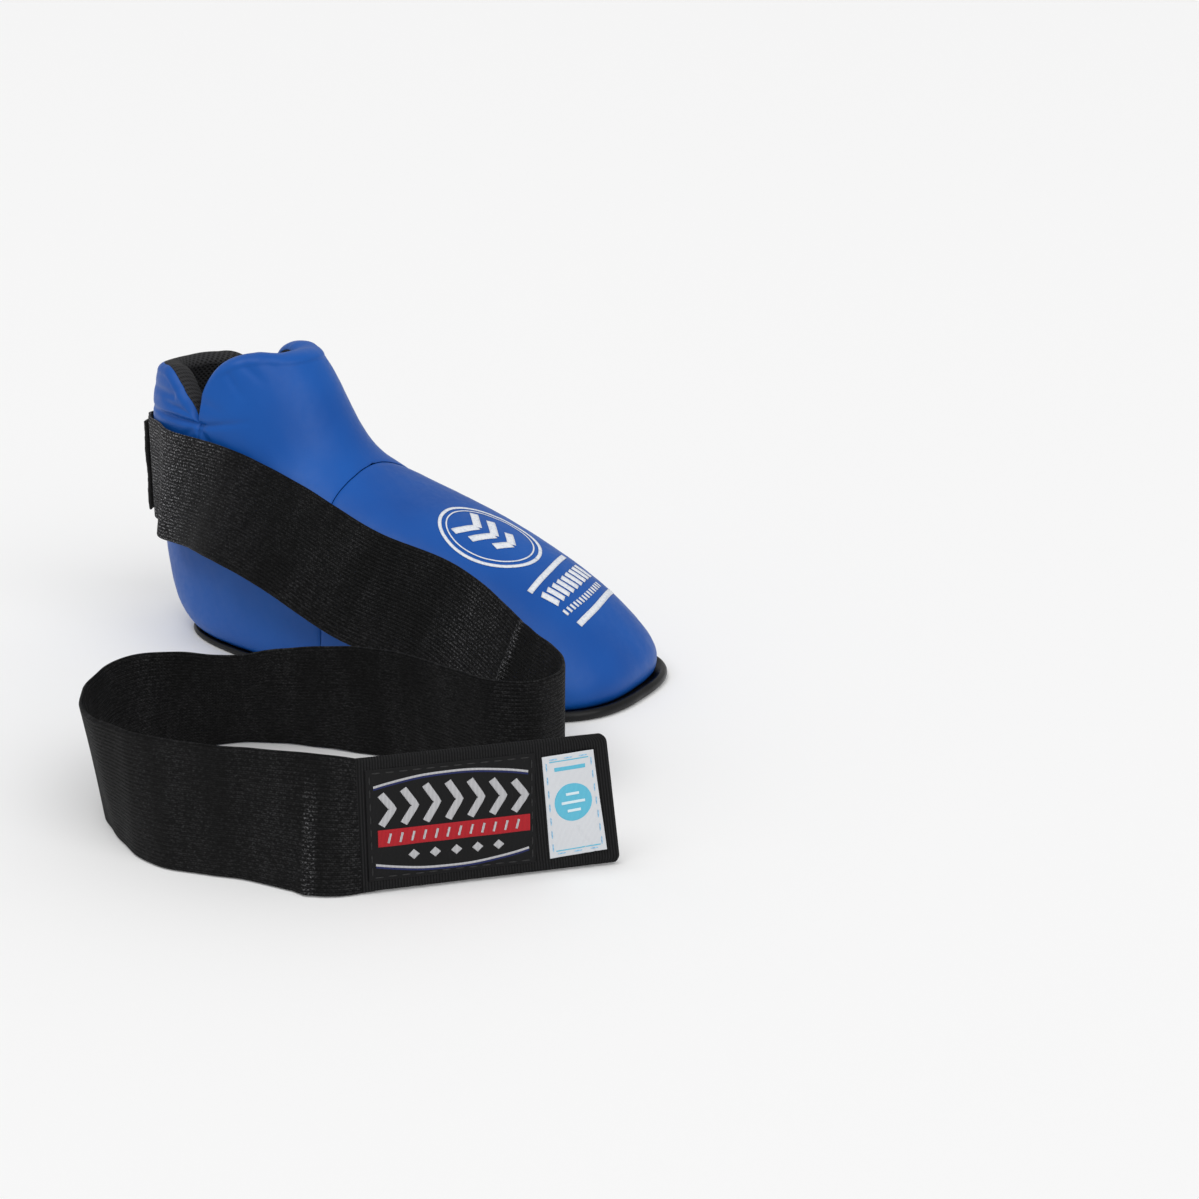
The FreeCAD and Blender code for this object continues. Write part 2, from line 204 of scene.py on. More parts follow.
def shell(turn, z, depth=0.0):
    """Point at a depth in the wall. At height z the outline is |x / reach|^n + |y / half|^n = 1,
    ahead of and behind its widest place. turn 0 is the toe, pi the heel, negative the near side."""
    turn, z, depth = np.broadcast_arrays(turn, z, depth)
    back, front, wide, half_width, n_front, n_back = level_values(z)
    back = back + depth * stretch(z, 0)
    front = front - depth * stretch(z, 1)
    half_width = half_width - depth * stretch(z, 3)
    c, s = np.cos(turn), np.sin(turn)
    n = np.where(c > 0, n_front, n_back)
    reach = np.where(c > 0, front - wide, wide - back)
    r = (np.abs(c) ** n + np.abs(s) ** n) ** (-1 / n)
    return np.stack([wide + reach * r * c, half_width * r * s, z], axis=-1)


def turn_at(x, z, side=-1):
    """The turn at which the outline at height z passes x, on the near side (-1) or far side (1):
    its sine and cosine are in the ratio of (1 - |share|^n)^(1/n) to the share of the reach."""
    back, front, wide, _, n_front, n_back = level_values(z)
    ahead = x > wide
    share = np.clip((x - wide) / np.where(ahead, front - wide, wide - back), -1, 1)
    n = np.where(ahead, n_front, n_back)
    return side * np.arctan2((1 - np.abs(share) ** n) ** (1 / n), share)


def smooth_step(value, low, high):
    """0 below low, 1 above high, and t * t * (3 - 2 t) between."""
    t = np.clip((value - low) / (high - low), 0, 1)
    return t * t * (3 - 2 * t)


def ripples(points, pitch, seed, waves=7):
    """Sum of sine waves in seeded directions, about -1 to 1, with the given pitch."""
    chance = np.random.default_rng(seed)
    ways = chance.normal(size=(waves, 3))
    ways /= np.linalg.norm(ways, axis=1)[:, None]
    rates = 2 * np.pi / (pitch * chance.uniform(0.7, 1.5, waves))
    shifts = chance.uniform(0, 2 * np.pi, waves)
    return np.sin(points @ (ways * rates[:, None]).T + shifts).sum(axis=-1) / waves**0.5 / 1.4


def distances(points):
    """How far along a line of points each of them lies: the lengths of the steps, added up."""
    return np.concatenate([[0], np.linalg.norm(np.diff(points, axis=0), axis=1).cumsum()])


def grid_quads(rows, columns):
    """Corner numbers of the quads of a grid of points that is stored row by row."""
    index = np.arange(rows * columns).reshape(rows, columns)
    corners = [index[:-1, :-1], index[:-1, 1:], index[1:, 1:], index[1:, :-1]]
    return np.stack(corners, axis=-1).reshape(-1, 4)


sharp_from = math.radians(65)  # edges that bend more than this are shaded sharp


def make_surface(name, grids, material, weld=0.0, thickness=0.0):
    """One mesh of several grids of points, (rows, columns, xyz), each with its UV in metres.
    A grid given with flip True has its faces turned round. weld merges the grids' shared edges,
    and thickness gives a wall inwards."""
    places, quads, uvs, count = [], [], [], 0
    for points, uv, flip in grids:
        rows, columns = points.shape[:2]
        faces = grid_quads(rows, columns) + count
        quads.append(faces[:, ::-1] if flip else faces)
        places.append(points.reshape(-1, 3))
        uvs.append(uv.reshape(-1, 2))
        count += rows * columns
    places, quads, uvs = np.concatenate(places), np.concatenate(quads), np.concatenate(uvs)
    mesh = bpy.data.meshes.new(name)
    mesh.vertices.add(len(places))
    mesh.vertices.foreach_set("co", places.astype(np.float32).ravel())
    mesh.loops.add(quads.size)
    mesh.loops.foreach_set("vertex_index", quads.astype(np.int32).ravel())
    mesh.polygons.add(len(quads))
    mesh.polygons.foreach_set("loop_start", np.arange(0, quads.size, 4, dtype=np.int32))
    mesh.update(calc_edges=True)
    layer = mesh.uv_layers.new(name="UVMap")
    layer.data.foreach_set("uv", uvs[quads.ravel()].astype(np.float32).ravel())
    piece = bpy.data.objects.new(name, mesh)
    bpy.context.scene.collection.objects.link(piece)
    mesh.materials.append(material)
    if weld:
        clean = bmesh.new()
        clean.from_mesh(mesh)
        bmesh.ops.remove_doubles(clean, verts=clean.verts, dist=weld)
        bmesh.ops.dissolve_degenerate(clean, edges=clean.edges, dist=weld)
        clean.to_mesh(mesh)
        clean.free()
    mesh.shade_smooth()
    mesh.set_sharp_from_angle(angle=sharp_from)
    if thickness:
        wall_maker = piece.modifiers.new("wall", "SOLIDIFY")
        wall_maker.thickness = thickness
        wall_maker.offset = -1.0
    return piece


# ---------------------------------------------------------------------------------------------
# Cover panels: satin polyurethane-coated synthetic leather over 11 mm of foam. The toe panel is
# sewn to the ankle panel across the instep, turned in at the seam, and both reach the welt.
# ---------------------------------------------------------------------------------------------
seam_x = 111 * MM
notch_x = 29 * MM
notch_height = 117 * MM
cover_skin = 1.2 * MM
seam_gap = 0.15 * MM
cover_low = 3.4 * MM
cuff_join = 105 * MM  # the cuff's skin leaves the ankle panel here, under the strap
collar_rear = 143.5 * MM
collar_slope = 0.12
roll_height = 5 * MM


def crease(points, start, end, width, depth):
    """A soft valley along the side-view line from start to end, (x, z): a Gaussian across the line,
    fading out along it as 1 - t * t."""
    a, b = np.array(start) * MM, np.array(end) * MM
    line = b - a
    place = points[..., [0, 2]] - a
    along = (place @ line) / (line @ line)
    off = place - along[..., None] * line
    fade = np.clip(1 - np.clip(along, 0, 1) ** 2, 0, 1) * smooth_step(along, -0.12, 0.0)
    across = np.linalg.norm(off, axis=-1) / (width * MM)
    return depth * MM * fade * np.exp(-(across**2))


# creases in the leather: start, end, width, depth, as seen from the side
CREASES = [
    ((29, 117), (-22, 120), 1.5, 2.0),
    ((27, 121), (0, 126), 1.6, 1.4),
    ((10, 129), (-20, 131), 2.2, 1.1),
    ((24, 123), (-12, 118.5), 1.3, -0.5),
    ((30, 116), (62, 121), 1.7, 0.9),
    ((30, 114), (39, 105), 1.6, 1.3),
    ((24, 114), (12, 104), 2.0, 0.7),
    ((31, 128), (46, 124), 2.4, 0.5),
    ((45, 143), (56, 131), 2.0, 0.7),
    ((52, 148), (66, 138), 1.8, 0.6),
    ((60, 150), (72, 143), 1.6, 0.45),
]


def skin_depth(points):
    """How far the leather lies under the body's smooth face: turned in at the instep seam and at
    the welt, a little full between them, creased round the notch, and never quite even."""
    x, z = points[..., 0], points[..., 2]
    from_seam = np.abs(x - seam_x)
    depth = 0.9 * MM * np.exp(-(from_seam / (0.9 * MM)))
    depth = depth + 0.25 * MM * np.exp(-((from_seam / (5 * MM)) ** 2))
    depth = depth + 1.3 * MM * np.exp(-((z - cover_low) / (1.6 * MM)))
    for start, end, width, amount in CREASES:
        depth = depth + crease(points, start, end, width, amount)
    depth = depth + 0.28 * MM * ripples(points, 34 * MM, seed=4)
    return depth + 0.07 * MM * ripples(points, 9 * MM, seed=5)


def laid(turn, z, depth_inside=None):
    """Points on the leather's face, with its creases, or on a smooth face at a depth in the wall."""
    if depth_inside is None:
        turn, z = np.broadcast_arrays(turn, z)
        depth_inside = skin_depth(shell(turn, z))
    return shell(turn, z, depth_inside)


def uv_of(points):
    """Lengths over the surface, along rows and down columns, added up from step to step."""
    across = np.linalg.norm(np.diff(points, axis=1), axis=-1).cumsum(axis=1)
    down = np.linalg.norm(np.diff(points, axis=0), axis=-1).cumsum(axis=0)
    u = np.column_stack([np.zeros(len(points)), across])
    v = np.vstack([np.zeros(points.shape[1]), down])
    return np.stack([u - u[:, u.shape[1] // 2][:, None], v], axis=-1)


def seam_top():
    """Height at which the outline's front reaches only to the instep seam, by halving."""
    low, high = 60 * MM, 130 * MM
    for _ in range(40):
        middle = (low + high) / 2
        if level_values(np.array(middle))[1] > seam_x:
            low = middle
        else:
            high = middle
    return low


ridge_z = seam_top()


def thick_near_end(start, end, count):
    """Values that crowd towards end, as 1 - (1 - t) squared."""
    return start + (end - start) * (1 - (1 - np.linspace(0, 1, count)) ** 2)


def toe_grid(depth_inside=None, rows=110, columns=201):
    """Rows at even heights from the welt to the ridge, each from the seam round the toe to the seam."""
    z = thick_near_end(cover_low, ridge_z, rows)[:, None]
    edge = turn_at(seam_x + seam_gap, z, 1)
    across = np.sin(np.linspace(-np.pi / 2, np.pi / 2, columns))[None, :]
    return laid(edge * across, z, depth_inside)


def front_heights():
    """Row heights of the ankle's front arcs up to the notch's tip, crowded where the seam ends."""
    below_ridge = thick_near_end(cover_low, ridge_z, 80)
    return np.concatenate([below_ridge, np.linspace(ridge_z, notch_height, 26)[1:]])


def front_arc(side, depth_inside=None, columns=70):
    """From the line under the notch forwards to the instep seam, and above the seam to the ridge."""
    z = front_heights()[:, None]
    first = turn_at(notch_x, z, side)
    last = turn_at(seam_x - seam_gap, z, side)
    s = np.linspace(0, 1, columns)[None, :]
    crowd = 1 - smooth_step(z, ridge_z - 15 * MM, ridge_z)
    share = crowd * np.sin(np.pi / 2 * s) + (1 - crowd) * s
    return laid(first + (last - first) * share, z, depth_inside)


def rear_arc(z, depth_inside=None, columns=121):
    """From the near side's notch line round the heel to the far side's, at each height in z."""
    z = z[:, None]
    first = turn_at(notch_x, z, 1)
    turn = first + (2 * np.pi - 2 * first) * np.linspace(0, 1, columns)[None, :]
    return laid(turn, z, depth_inside)


def collar_z(x):
    """The collar's sloping edge."""
    return collar_rear + collar_slope * x


def resample(points, count):
    """Evenly spaced points along a line of points."""
    along = distances(points)
    at = np.linspace(0, along[-1], count)
    return np.column_stack([np.interp(at, along, points[:, k]) for k in range(points.shape[1])])


def round_corner(points, passes=6):
    """Cuts a line's corners by halves, keeping its ends: each step gives points at 1/4 and 3/4."""
    for _ in range(passes):
        before, after = points[:-1], points[1:]
        cut = np.stack([0.75 * before + 0.25 * after, 0.25 * before + 0.75 * after], axis=1)
        points = np.vstack([points[:1], cut.reshape(-1, points.shape[1]), points[-1:]])
    return points


# where the leather starts to roll over at the notch, as (x, z) in mm: its front and its rear
NOTCH_FRONT = [(29, 117), (30.5, 122), (32.5, 130), (36.5, 138), (43, 144), (52, 147), (61, 148)]
NOTCH_REAR = [(29, 117), (21.5, 121.5), (13.5, 128.5), (6, 135.5), (0, 138), (-6, 137.4)]


def free_edge(notch, last_turn, count):
    """A padded edge as (turn, z): up the notch's edge from its tip, then along the collar."""
    side_view = round_corner(np.array(notch, float)) * MM
    rising = np.column_stack([turn_at(side_view[:, 0], side_view[:, 1], 1), side_view[:, 1]])
    turn = np.linspace(rising[-1, 0], last_turn, 60)[1:]
    joined = smooth_step(np.abs(turn - rising[-1, 0]), 0, 0.5)
    z = np.full_like(turn, rising[-1, 1])
    for _ in range(8):
        z = rising[-1, 1] * (1 - joined) + joined * (collar_z(shell(turn, z)[:, 0]) - roll_height)
    line = np.vstack([rising, np.column_stack([turn, z])])
    turn_length = np.array([35 * MM, 1.0])
    return resample(line * turn_length, count) / turn_length


def both_sides(line, middle):
    """The line and its mirror image, joined at the turn that lies in the guard's middle."""
    mirrored = line[::-1] * [-1, 1] + [2 * middle, 0]
    return np.vstack([line, mirrored[1:]])


def ruled(low_line, high_line, rows, depth_inside=None):
    """Grid between two lines of (turn, z), laid at a depth: low (1 - t) + high t."""
    t = np.linspace(0, 1, rows)[:, None, None]
    lines = low_line[None] * (1 - t) + high_line[None] * t
    return laid(lines[..., 0], lines[..., 1], depth_inside)


def rolled_edge(line, sweep, rows):
    """The padded edge that joins the outer face to the lining's along line: half an ellipse,
    outside + (inside - outside) (1 - cos) / 2 + away * roll * sin, with away square to the edge."""
    outside, inside = laid(line[:, 0], line[:, 1]), shell(line[:, 0], line[:, 1], wall)
    along = np.gradient((outside + inside) / 2, axis=0)
    away = np.cross(along, inside - outside)
    away /= np.linalg.norm(away, axis=1)[:, None]
    away *= np.sign(away[len(away) // 2, 2])
    from_tip = distances(outside)
    from_tip = np.minimum(from_tip, from_tip[-1] - from_tip)
    roll = roll_height * (0.12 + 0.88 * smooth_step(from_tip, 0, 16 * MM))
    angle = np.radians(np.linspace(*sweep, rows))[:, None, None]
    across = outside[None] + (inside - outside)[None] * (1 - np.cos(angle)) / 2
    return across + away[None] * roll[None, :, None] * np.sin(angle)


def with_uv(points, flip=False):
    """A grid for make_surface, with its own lengths as its UV."""
    return points, uv_of(points), flip


heights = front_heights()
join = int(np.searchsorted(heights, cuff_join))
tip_turn = float(turn_at(np.array(notch_x), np.array(notch_height), 1))
front_edge = both_sides(free_edge(NOTCH_FRONT, 0.0, 70), 0.0)
rear_edge = both_sides(free_edge(NOTCH_REAR, np.pi, 61), np.pi)
front_low = np.column_stack([np.linspace(tip_turn, -tip_turn, 139), np.full(139, notch_height)])
rear_low = np.column_stack([np.linspace(tip_turn, 2 * np.pi - tip_turn, 121), np.full(121, notch_height)])
front_turnover, cuff_turnover = 172, 62  # degrees round the edge at which leather meets lining


def panel_grids(depth_inside=None):
    """The ankle panel's grids, on its face or at a depth: two front arcs, the heel and the collar."""
    return [
        with_uv(front_arc(-1, depth_inside), False),
        with_uv(front_arc(1, depth_inside), True),
        with_uv(rear_arc(heights[: join + 1], depth_inside), False),
        with_uv(ruled(front_low, front_edge, 40, depth_inside), True),
    ]


def cuff_grids(depth_inside=None):
    """The heel cuff's grids: from under the strap to the notch's tip, and on up to the collar."""
    return [
        with_uv(rear_arc(heights[join:], depth_inside), False),
        with_uv(ruled(rear_low, rear_edge, 36, depth_inside), False),
    ]


# Coated synthetic leather: a soft, even sheen and a fine pressed grain, about 0.9 mm
leather, tree, shader = new_material("coated synthetic leather", "#0F51A2", 0.45, Specular_IOR_Level=0.26)
where = add_node(tree, "ShaderNodeTexCoord")
grain = add_node(tree, "ShaderNodeTexVoronoi", {"feature": "SMOOTH_F1", "Scale": 1 / (0.9 * MM)},
                 {"Vector": where.outputs["Object"]})
pores = add_node(tree, "ShaderNodeTexNoise", {"Scale": 1 / (3.2 * MM), "Detail": 4.0},
                 {"Vector": where.outputs["Object"]})
mottle = add_node(tree, "ShaderNodeTexNoise", {"Scale": 1 / (55 * MM), "Detail": 2.0},
                  {"Vector": where.outputs["Object"]})
height = add_node(tree, "ShaderNodeMath", {"operation": "ADD"},
                  {0: grain.outputs["Distance"], 1: pores.outputs["Fac"]})
bump = add_node(tree, "ShaderNodeBump", {"Strength": 0.16, "Distance": 0.12 * MM},
                {"Height": height.outputs["Value"]})
tree.links.new(bump.outputs["Normal"], shader.inputs["Normal"])
shade = add_node(tree, "ShaderNodeValToRGB", None, {"Fac": mottle.outputs["Fac"]})
shade.color_ramp.elements[0].position, shade.color_ramp.elements[1].position = 0.3, 0.7
shade.color_ramp.elements[0].color = linear("#094B9C")
shade.color_ramp.elements[1].color = linear("#0F57AC")
tree.links.new(shade.outputs["Color"], shader.inputs["Base Color"])
gloss = add_node(tree, "ShaderNodeMapRange",
                 {"From Min": 0.3, "From Max": 0.7, "To Min": 0.4, "To Max": 0.5},
                 {"Value": pores.outputs["Fac"]})
tree.links.new(gloss.outputs["Result"], shader.inputs["Roughness"])

toe_cover = make_surface("toe_panel", [with_uv(toe_grid(), False)], leather, 0.01 * MM, cover_skin)
ankle_cover = make_surface(
    "ankle_panel",
    panel_grids() + [with_uv(rolled_edge(front_edge, (0, front_turnover), 22), True)],
    leather, 0.01 * MM, cover_skin,
)
cuff_cover = make_surface(
    "cuff_panel",
    cuff_grids() + [with_uv(rolled_edge(rear_edge, (0, cuff_turnover), 22), False)],
    leather, 0.01 * MM, cover_skin,
)
for piece, nodes, fill in (
    (toe_cover, ("toe_cover", "toe_foam"), 0.95),
    (ankle_cover, ("ankle_cover", "ankle_foam"), 0.9),
    (cuff_cover, ("cuff_cover", "cuff_foam"), 0.8),
):
    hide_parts(*nodes)
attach(toe_cover, "root")
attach(ankle_cover, "root")
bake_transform(cuff_cover)

# ---------------------------------------------------------------------------------------------
# Lining: black spacer mesh, knitted with an open lattice of small holes. It is sewn to the
# leather's rolled edge at the collar and the notch, and turned over the padding at the sole.
# ---------------------------------------------------------------------------------------------
lining_skin = 1.2 * MM
mesh_pitch = 1.9 * MM
sole_turning_from = 5.5 * MM  # depth in the wall at which the strip under the sole starts

# Knitted spacer mesh: black polyester, a dull open lattice whose holes lie in slanting rows
spacer, tree, shader = new_material("knitted spacer mesh", "#0C0C0D", 0.75, Specular_IOR_Level=0.35)
where = add_node(tree, "ShaderNodeUVMap", {"uv_map": "UVMap"})
turned = add_node(tree, "ShaderNodeMapping", {"Rotation": (0, 0, math.radians(45))},
                  {"Vector": where.outputs["UV"]})
holes = add_node(tree, "ShaderNodeTexVoronoi",
                 {"voronoi_dimensions": "2D", "Scale": 1 / mesh_pitch, "Randomness": 0.08},
                 {"Vector": turned.outputs["Vector"]})
open_part = add_node(tree, "ShaderNodeMapRange", {"From Min": 0.18, "From Max": 0.42},
                     {"Value": holes.outputs["Distance"]})
yarn = add_node(tree, "ShaderNodeValToRGB", None, {"Fac": open_part.outputs["Result"]})
yarn.color_ramp.elements[0].color = linear("#020202")
yarn.color_ramp.elements[1].color = linear("#2A2A2C")
tree.links.new(yarn.outputs["Color"], shader.inputs["Base Color"])
bump = add_node(tree, "ShaderNodeBump", {"Strength": 0.9, "Distance": 0.5 * MM},
                {"Height": open_part.outputs["Result"]})
tree.links.new(bump.outputs["Normal"], shader.inputs["Normal"])


def sole_turning(rows=9, columns=301):
    """The lining's strip under the padding: level rings from near the welt in to the lining."""
    turn = np.linspace(0, 2 * np.pi, columns)[None, :]
    depth = np.linspace(sole_turning_from, wall, rows)[:, None]
    return shell(turn, cover_low, depth)


foot_lining = make_surface(
    "foot_lining",
    [(points, uv, not flip) for points, uv, flip in panel_grids(wall)]
    + [with_uv(toe_grid(wall), True), with_uv(sole_turning(), True)]
    + [with_uv(rolled_edge(front_edge, (front_turnover, 180), 14), True)],
    spacer, 0.01 * MM, lining_skin,
)
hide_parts("toe_lining", "ankle_lining")
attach(foot_lining, "root")
cuff_lining = make_surface(
    "cuff_lining_mesh",
    [(points, uv, not flip) for points, uv, flip in cuff_grids(wall)]
    + [with_uv(rolled_edge(rear_edge, (cuff_turnover, 180), 22), False)],
    spacer, 0.01 * MM, lining_skin,
)
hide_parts("cuff_lining")
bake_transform(cuff_lining)

# ---------------------------------------------------------------------------------------------
# Welt: a strip of black synthetic leather folded round a cord and sewn under the padding's edge
# all round the open sole. It stands out furthest at the toe, and the guard rests on it.
# ---------------------------------------------------------------------------------------------
welt_at_toe = 6.0 * MM
welt_at_heel = 1.3 * MM
welt_roll = 2.6 * MM
welt_inside = 7 * MM


def outline_ring(columns):
    """The body's lower outline and its outward directions, square to the line's own slope."""
    turn = np.linspace(0, 2 * np.pi, columns)
    ring = shell(turn, np.full(columns, welt_height))
    ring[-1] = ring[0]
    along = np.roll(ring[:-1], -1, axis=0) - np.roll(ring[:-1], 1, axis=0)
    along = np.vstack([along, along[:1]])
    out = np.column_stack([along[:, 1], -along[:, 0], np.zeros(columns)])
    return ring * [1, 1, 0], out / np.linalg.norm(out, axis=1)[:, None]


def welt_grid(columns=361):
    """The welt's section, a flat strip with a round outer edge, carried round the outline."""
    ring, out = outline_ring(columns)
    share = np.clip((ring[:, 0] - cover_back) / guard_length, 0, 1)
    reach = welt_at_heel + (welt_at_toe - welt_at_heel) * share
    arc = np.radians(np.linspace(-90, 90, 13))
    roll = welt_roll * (0.56 + 0.44 * share)
    level = welt_height - 0.2 * MM
    strip = [(-welt_inside, 0.3 * MM), (-welt_inside + 0.3 * MM, 0.0)]
    rows = [(np.full(columns, r), z) for r, z in strip]
    rows += [(reach - roll + roll * np.cos(a), roll * (1 + np.sin(a))) for a in arc]
    rows += [(reach - roll - 1.0 * MM, 2 * roll - 0.9 * MM)]
    rows += [(np.full(columns, r), level) for r in (-2.6 * MM, -welt_inside + 0.3 * MM)]
    rows += [(np.full(columns, -welt_inside), level - 0.3 * MM), rows[0]]
    r = np.array([row[0] for row in rows])
    z = np.array([row[1] + np.zeros(columns) for row in rows])
    return ring[None] + out[None] * r[..., None] + np.array([0, 0, 1.0]) * z[..., None]


# Folded synthetic leather: black, a little glossier than the panels, with the same fine grain
black_leather, tree, shader = new_material(
    "black synthetic leather", "#060607", 0.5, Specular_IOR_Level=0.3
)
where = add_node(tree, "ShaderNodeTexCoord")
grain = add_node(tree, "ShaderNodeTexVoronoi", {"feature": "SMOOTH_F1", "Scale": 1 / (0.8 * MM)},
                 {"Vector": where.outputs["Object"]})
scuff = add_node(tree, "ShaderNodeTexNoise", {"Scale": 1 / (14 * MM), "Detail": 5.0},
                 {"Vector": where.outputs["Object"]})
bump = add_node(tree, "ShaderNodeBump", {"Strength": 0.25, "Distance": 0.15 * MM},
                {"Height": grain.outputs["Distance"]})
tree.links.new(bump.outputs["Normal"], shader.inputs["Normal"])
gloss = add_node(tree, "ShaderNodeMapRange",
                 {"From Min": 0.35, "From Max": 0.7, "To Min": 0.34, "To Max": 0.55},
                 {"Value": scuff.outputs["Fac"]})
tree.links.new(gloss.outputs["Result"], shader.inputs["Roughness"])

welt = make_surface("sole_welt", [with_uv(welt_grid(), False)], black_leather, 0.01 * MM)
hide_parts("rim_welt")
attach(welt, "root")

# ---------------------------------------------------------------------------------------------
# Toe print: white screen ink on the toe panel. A plain round badge of chevrons, two bars, and
# two rows of short blocks between them.
# ---------------------------------------------------------------------------------------------
print_origin = np.array([180 * MM, -3.5 * MM])
print_turn = math.radians(8.5)
ink_height = 0.12 * MM
ink_step = 1.2 * MM


def top_of_toe(place):
    """Point of the leather's upper face over each (x, y): the height where the outline passes it,
    found by halving, then moved in by the leather's own unevenness and out by the ink's height."""

    def height_at(x, y):
        """Height at which the outline passes (x, y)."""
        low, high = np.full_like(x, 20 * MM), np.full_like(x, 130 * MM)
        for _ in range(34):
            z = (low + high) / 2
            back, front, wide, half_width, n_front, n_back = level_values(z)
            n = np.where(x > wide, n_front, n_back)
            reach = np.where(x > wide, front - wide, wide - back)
            outside = (np.abs(x - wide) / reach) ** n + (np.abs(y) / half_width) ** n > 1
            low, high = np.where(outside, low, z), np.where(outside, z, high)
        return (low + high) / 2

    x, y = place[..., 0], place[..., 1]
    z = height_at(x, y)
    slope_x = (height_at(x + 0.5 * MM, y) - height_at(x - 0.5 * MM, y)) / MM
    slope_y = (height_at(x, y + 0.5 * MM) - height_at(x, y - 0.5 * MM)) / MM
    normal = np.stack([-slope_x, -slope_y, np.ones_like(z)], axis=-1)
    normal /= np.linalg.norm(normal, axis=-1)[..., None]
    points = np.stack([x, y, z], axis=-1)
    return points + normal * (ink_height - skin_depth(points))[..., None]


def on_toe(p, q):
    """Place on the guard, seen from above, of the print's own p (to the toe) and q (to the left)."""
    c, s = math.cos(print_turn), math.sin(print_turn)
    return np.stack([print_origin[0] + p * c - q * s, print_origin[1] + p * s + q * c], axis=-1)


def ink_bar(start, end, width, bow=0.0):
    """A bar of ink between two places (p, q), in mm, bowed towards the toe in its middle by bow:
    a grid along and across it."""
    start, end = np.array(start) * MM, np.array(end) * MM
    length = np.linalg.norm(end - start)
    along = (end - start) / length
    across = np.array([-along[1], along[0]])
    t = np.linspace(0, 1, max(int(length / ink_step), 2) + 1)[:, None, None]
    s = np.linspace(-0.5, 0.5, max(int(width * MM / ink_step), 2) + 1)[None, :, None]
    flat = start + (end - start) * t + across * (s * width * MM - 4 * bow * MM * t * (1 - t))
    return with_uv(top_of_toe(on_toe(flat[..., 0], flat[..., 1])))


def ink_ring(radius, width, columns=97):
    """A ring of ink about the print's origin."""
    angle = np.linspace(0, 2 * np.pi, columns)[None, :]
    r = (radius + np.linspace(-0.5, 0.5, 3)[:, None] * width) * MM
    return with_uv(top_of_toe(on_toe(r * np.cos(angle), r * np.sin(angle))))


def toe_print():
    """All of the print's grids: two rings, three chevrons, two bars and two rows of blocks."""
    grids = [ink_ring(24.5, 1.7), ink_ring(21.3, 0.7)]
    for tip in (-6.5, 2.5, 11.5):
        reach = 12.5 if tip < 5 else 9.0
        for side in (-1, 1):
            grids.append(ink_bar((tip, 0.0), (tip - reach * 0.6, side * reach), 4.2))
    grids += [
        ink_bar((31.0, -25.5), (30.3, 21.5), 2.6, 1.4),
        ink_bar((55.3, -23.3), (53.4, 27), 2.6, 2.4),
    ]
    for i in range(9):
        q = -22.5 + 5.2 * i
        p = 36.2 + 1.8 * (1 - ((q - 1) / 22) ** 2)
        grids.append(ink_bar((p, q), (p + 8.2, q + 1.4), 3.6))
    for i in range(14):
        q = -23.0 + 3.15 * i
        p = 47.4 + 2.2 * (1 - ((q - 1) / 22) ** 2)
        grids.append(ink_bar((p, q), (p + 2.8, q), 1.6))
    return grids


# Screen ink: a thin matt white film that lets a little of the blue through
ink, tree, shader = new_material("white screen ink", "#E4E7EC", 0.55)
where = add_node(tree, "ShaderNodeTexCoord")
thin = add_node(tree, "ShaderNodeTexNoise", {"Scale": 1 / (1.3 * MM), "Detail": 3.0},
                {"Vector": where.outputs["Object"]})
film = add_node(tree, "ShaderNodeValToRGB", None, {"Fac": thin.outputs["Fac"]})
film.color_ramp.elements[0].position, film.color_ramp.elements[1].position = 0.3, 0.55
film.color_ramp.elements[0].color = linear("#C9D2E2")
film.color_ramp.elements[1].color = linear("#E8EAEE")
tree.links.new(film.outputs["Color"], shader.inputs["Base Color"])
badge = make_surface("toe_print", toe_print(), ink, 0.0, 0.2 * MM)
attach(badge, "root")

# ---------------------------------------------------------------------------------------------
# Toe band: a short knitted elastic across the open sole, under the toes. Both its ends are sewn
# in under the padding's edge.
# ---------------------------------------------------------------------------------------------
toe_band_width = 25 * MM
toe_band_middle = cover_back + guard_length - 64 * MM - toe_band_width / 2
toe_band_low = 8 * MM
toe_band_thick = 1.4 * MM
toe_band_level = toe_band_low + toe_band_thick / 2


def toe_band_grid(rows=41, columns=25):
    """Closed band: rows across the guard, columns round the band's section."""
    y_end = shell(turn_at(toe_band_middle, toe_band_level, 1), toe_band_level, wall - 1 * MM)[1]
    y = np.linspace(-y_end, y_end, rows)[:, None]
    round_section = np.linspace(0, 2 * np.pi, columns)[None, :]
    c, s = np.cos(round_section), np.sin(round_section)
    x = toe_band_middle + toe_band_width / 2 * np.sign(c) * np.abs(c) ** 0.35 + 0 * y
    z = toe_band_low + toe_band_thick / 2 * (1 + np.sign(s) * np.abs(s) ** 0.5) + 0 * y
    return np.stack([x, y + 0 * x, z], axis=-1)


def wave_scale(pitch):
    """Scale of a wave texture whose bands lie a pitch apart: 2 pi / (20 pitch)."""
    return 2 * math.pi / (20 * pitch)


# Knitted elastic: black polyester over rubber, in ribs about 1.4 mm apart along the band
elastic, tree, shader = new_material("knitted elastic", "#0E0E0F", 0.8, Sheen_Weight=0.05)
where = add_node(tree, "ShaderNodeTexCoord")
ribs = add_node(tree, "ShaderNodeTexWave", {"bands_direction": "X", "Scale": wave_scale(1.4 * MM)},
                {"Vector": where.outputs["Object"]})
bump = add_node(tree, "ShaderNodeBump", {"Strength": 0.6, "Distance": 0.4 * MM},
                {"Height": ribs.outputs["Fac"]})
tree.links.new(bump.outputs["Normal"], shader.inputs["Normal"])
toe_band = make_surface("sole_elastic", [with_uv(toe_band_grid(), True)], elastic, 0.01 * MM)
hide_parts("toe_band")
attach(toe_band, "root")

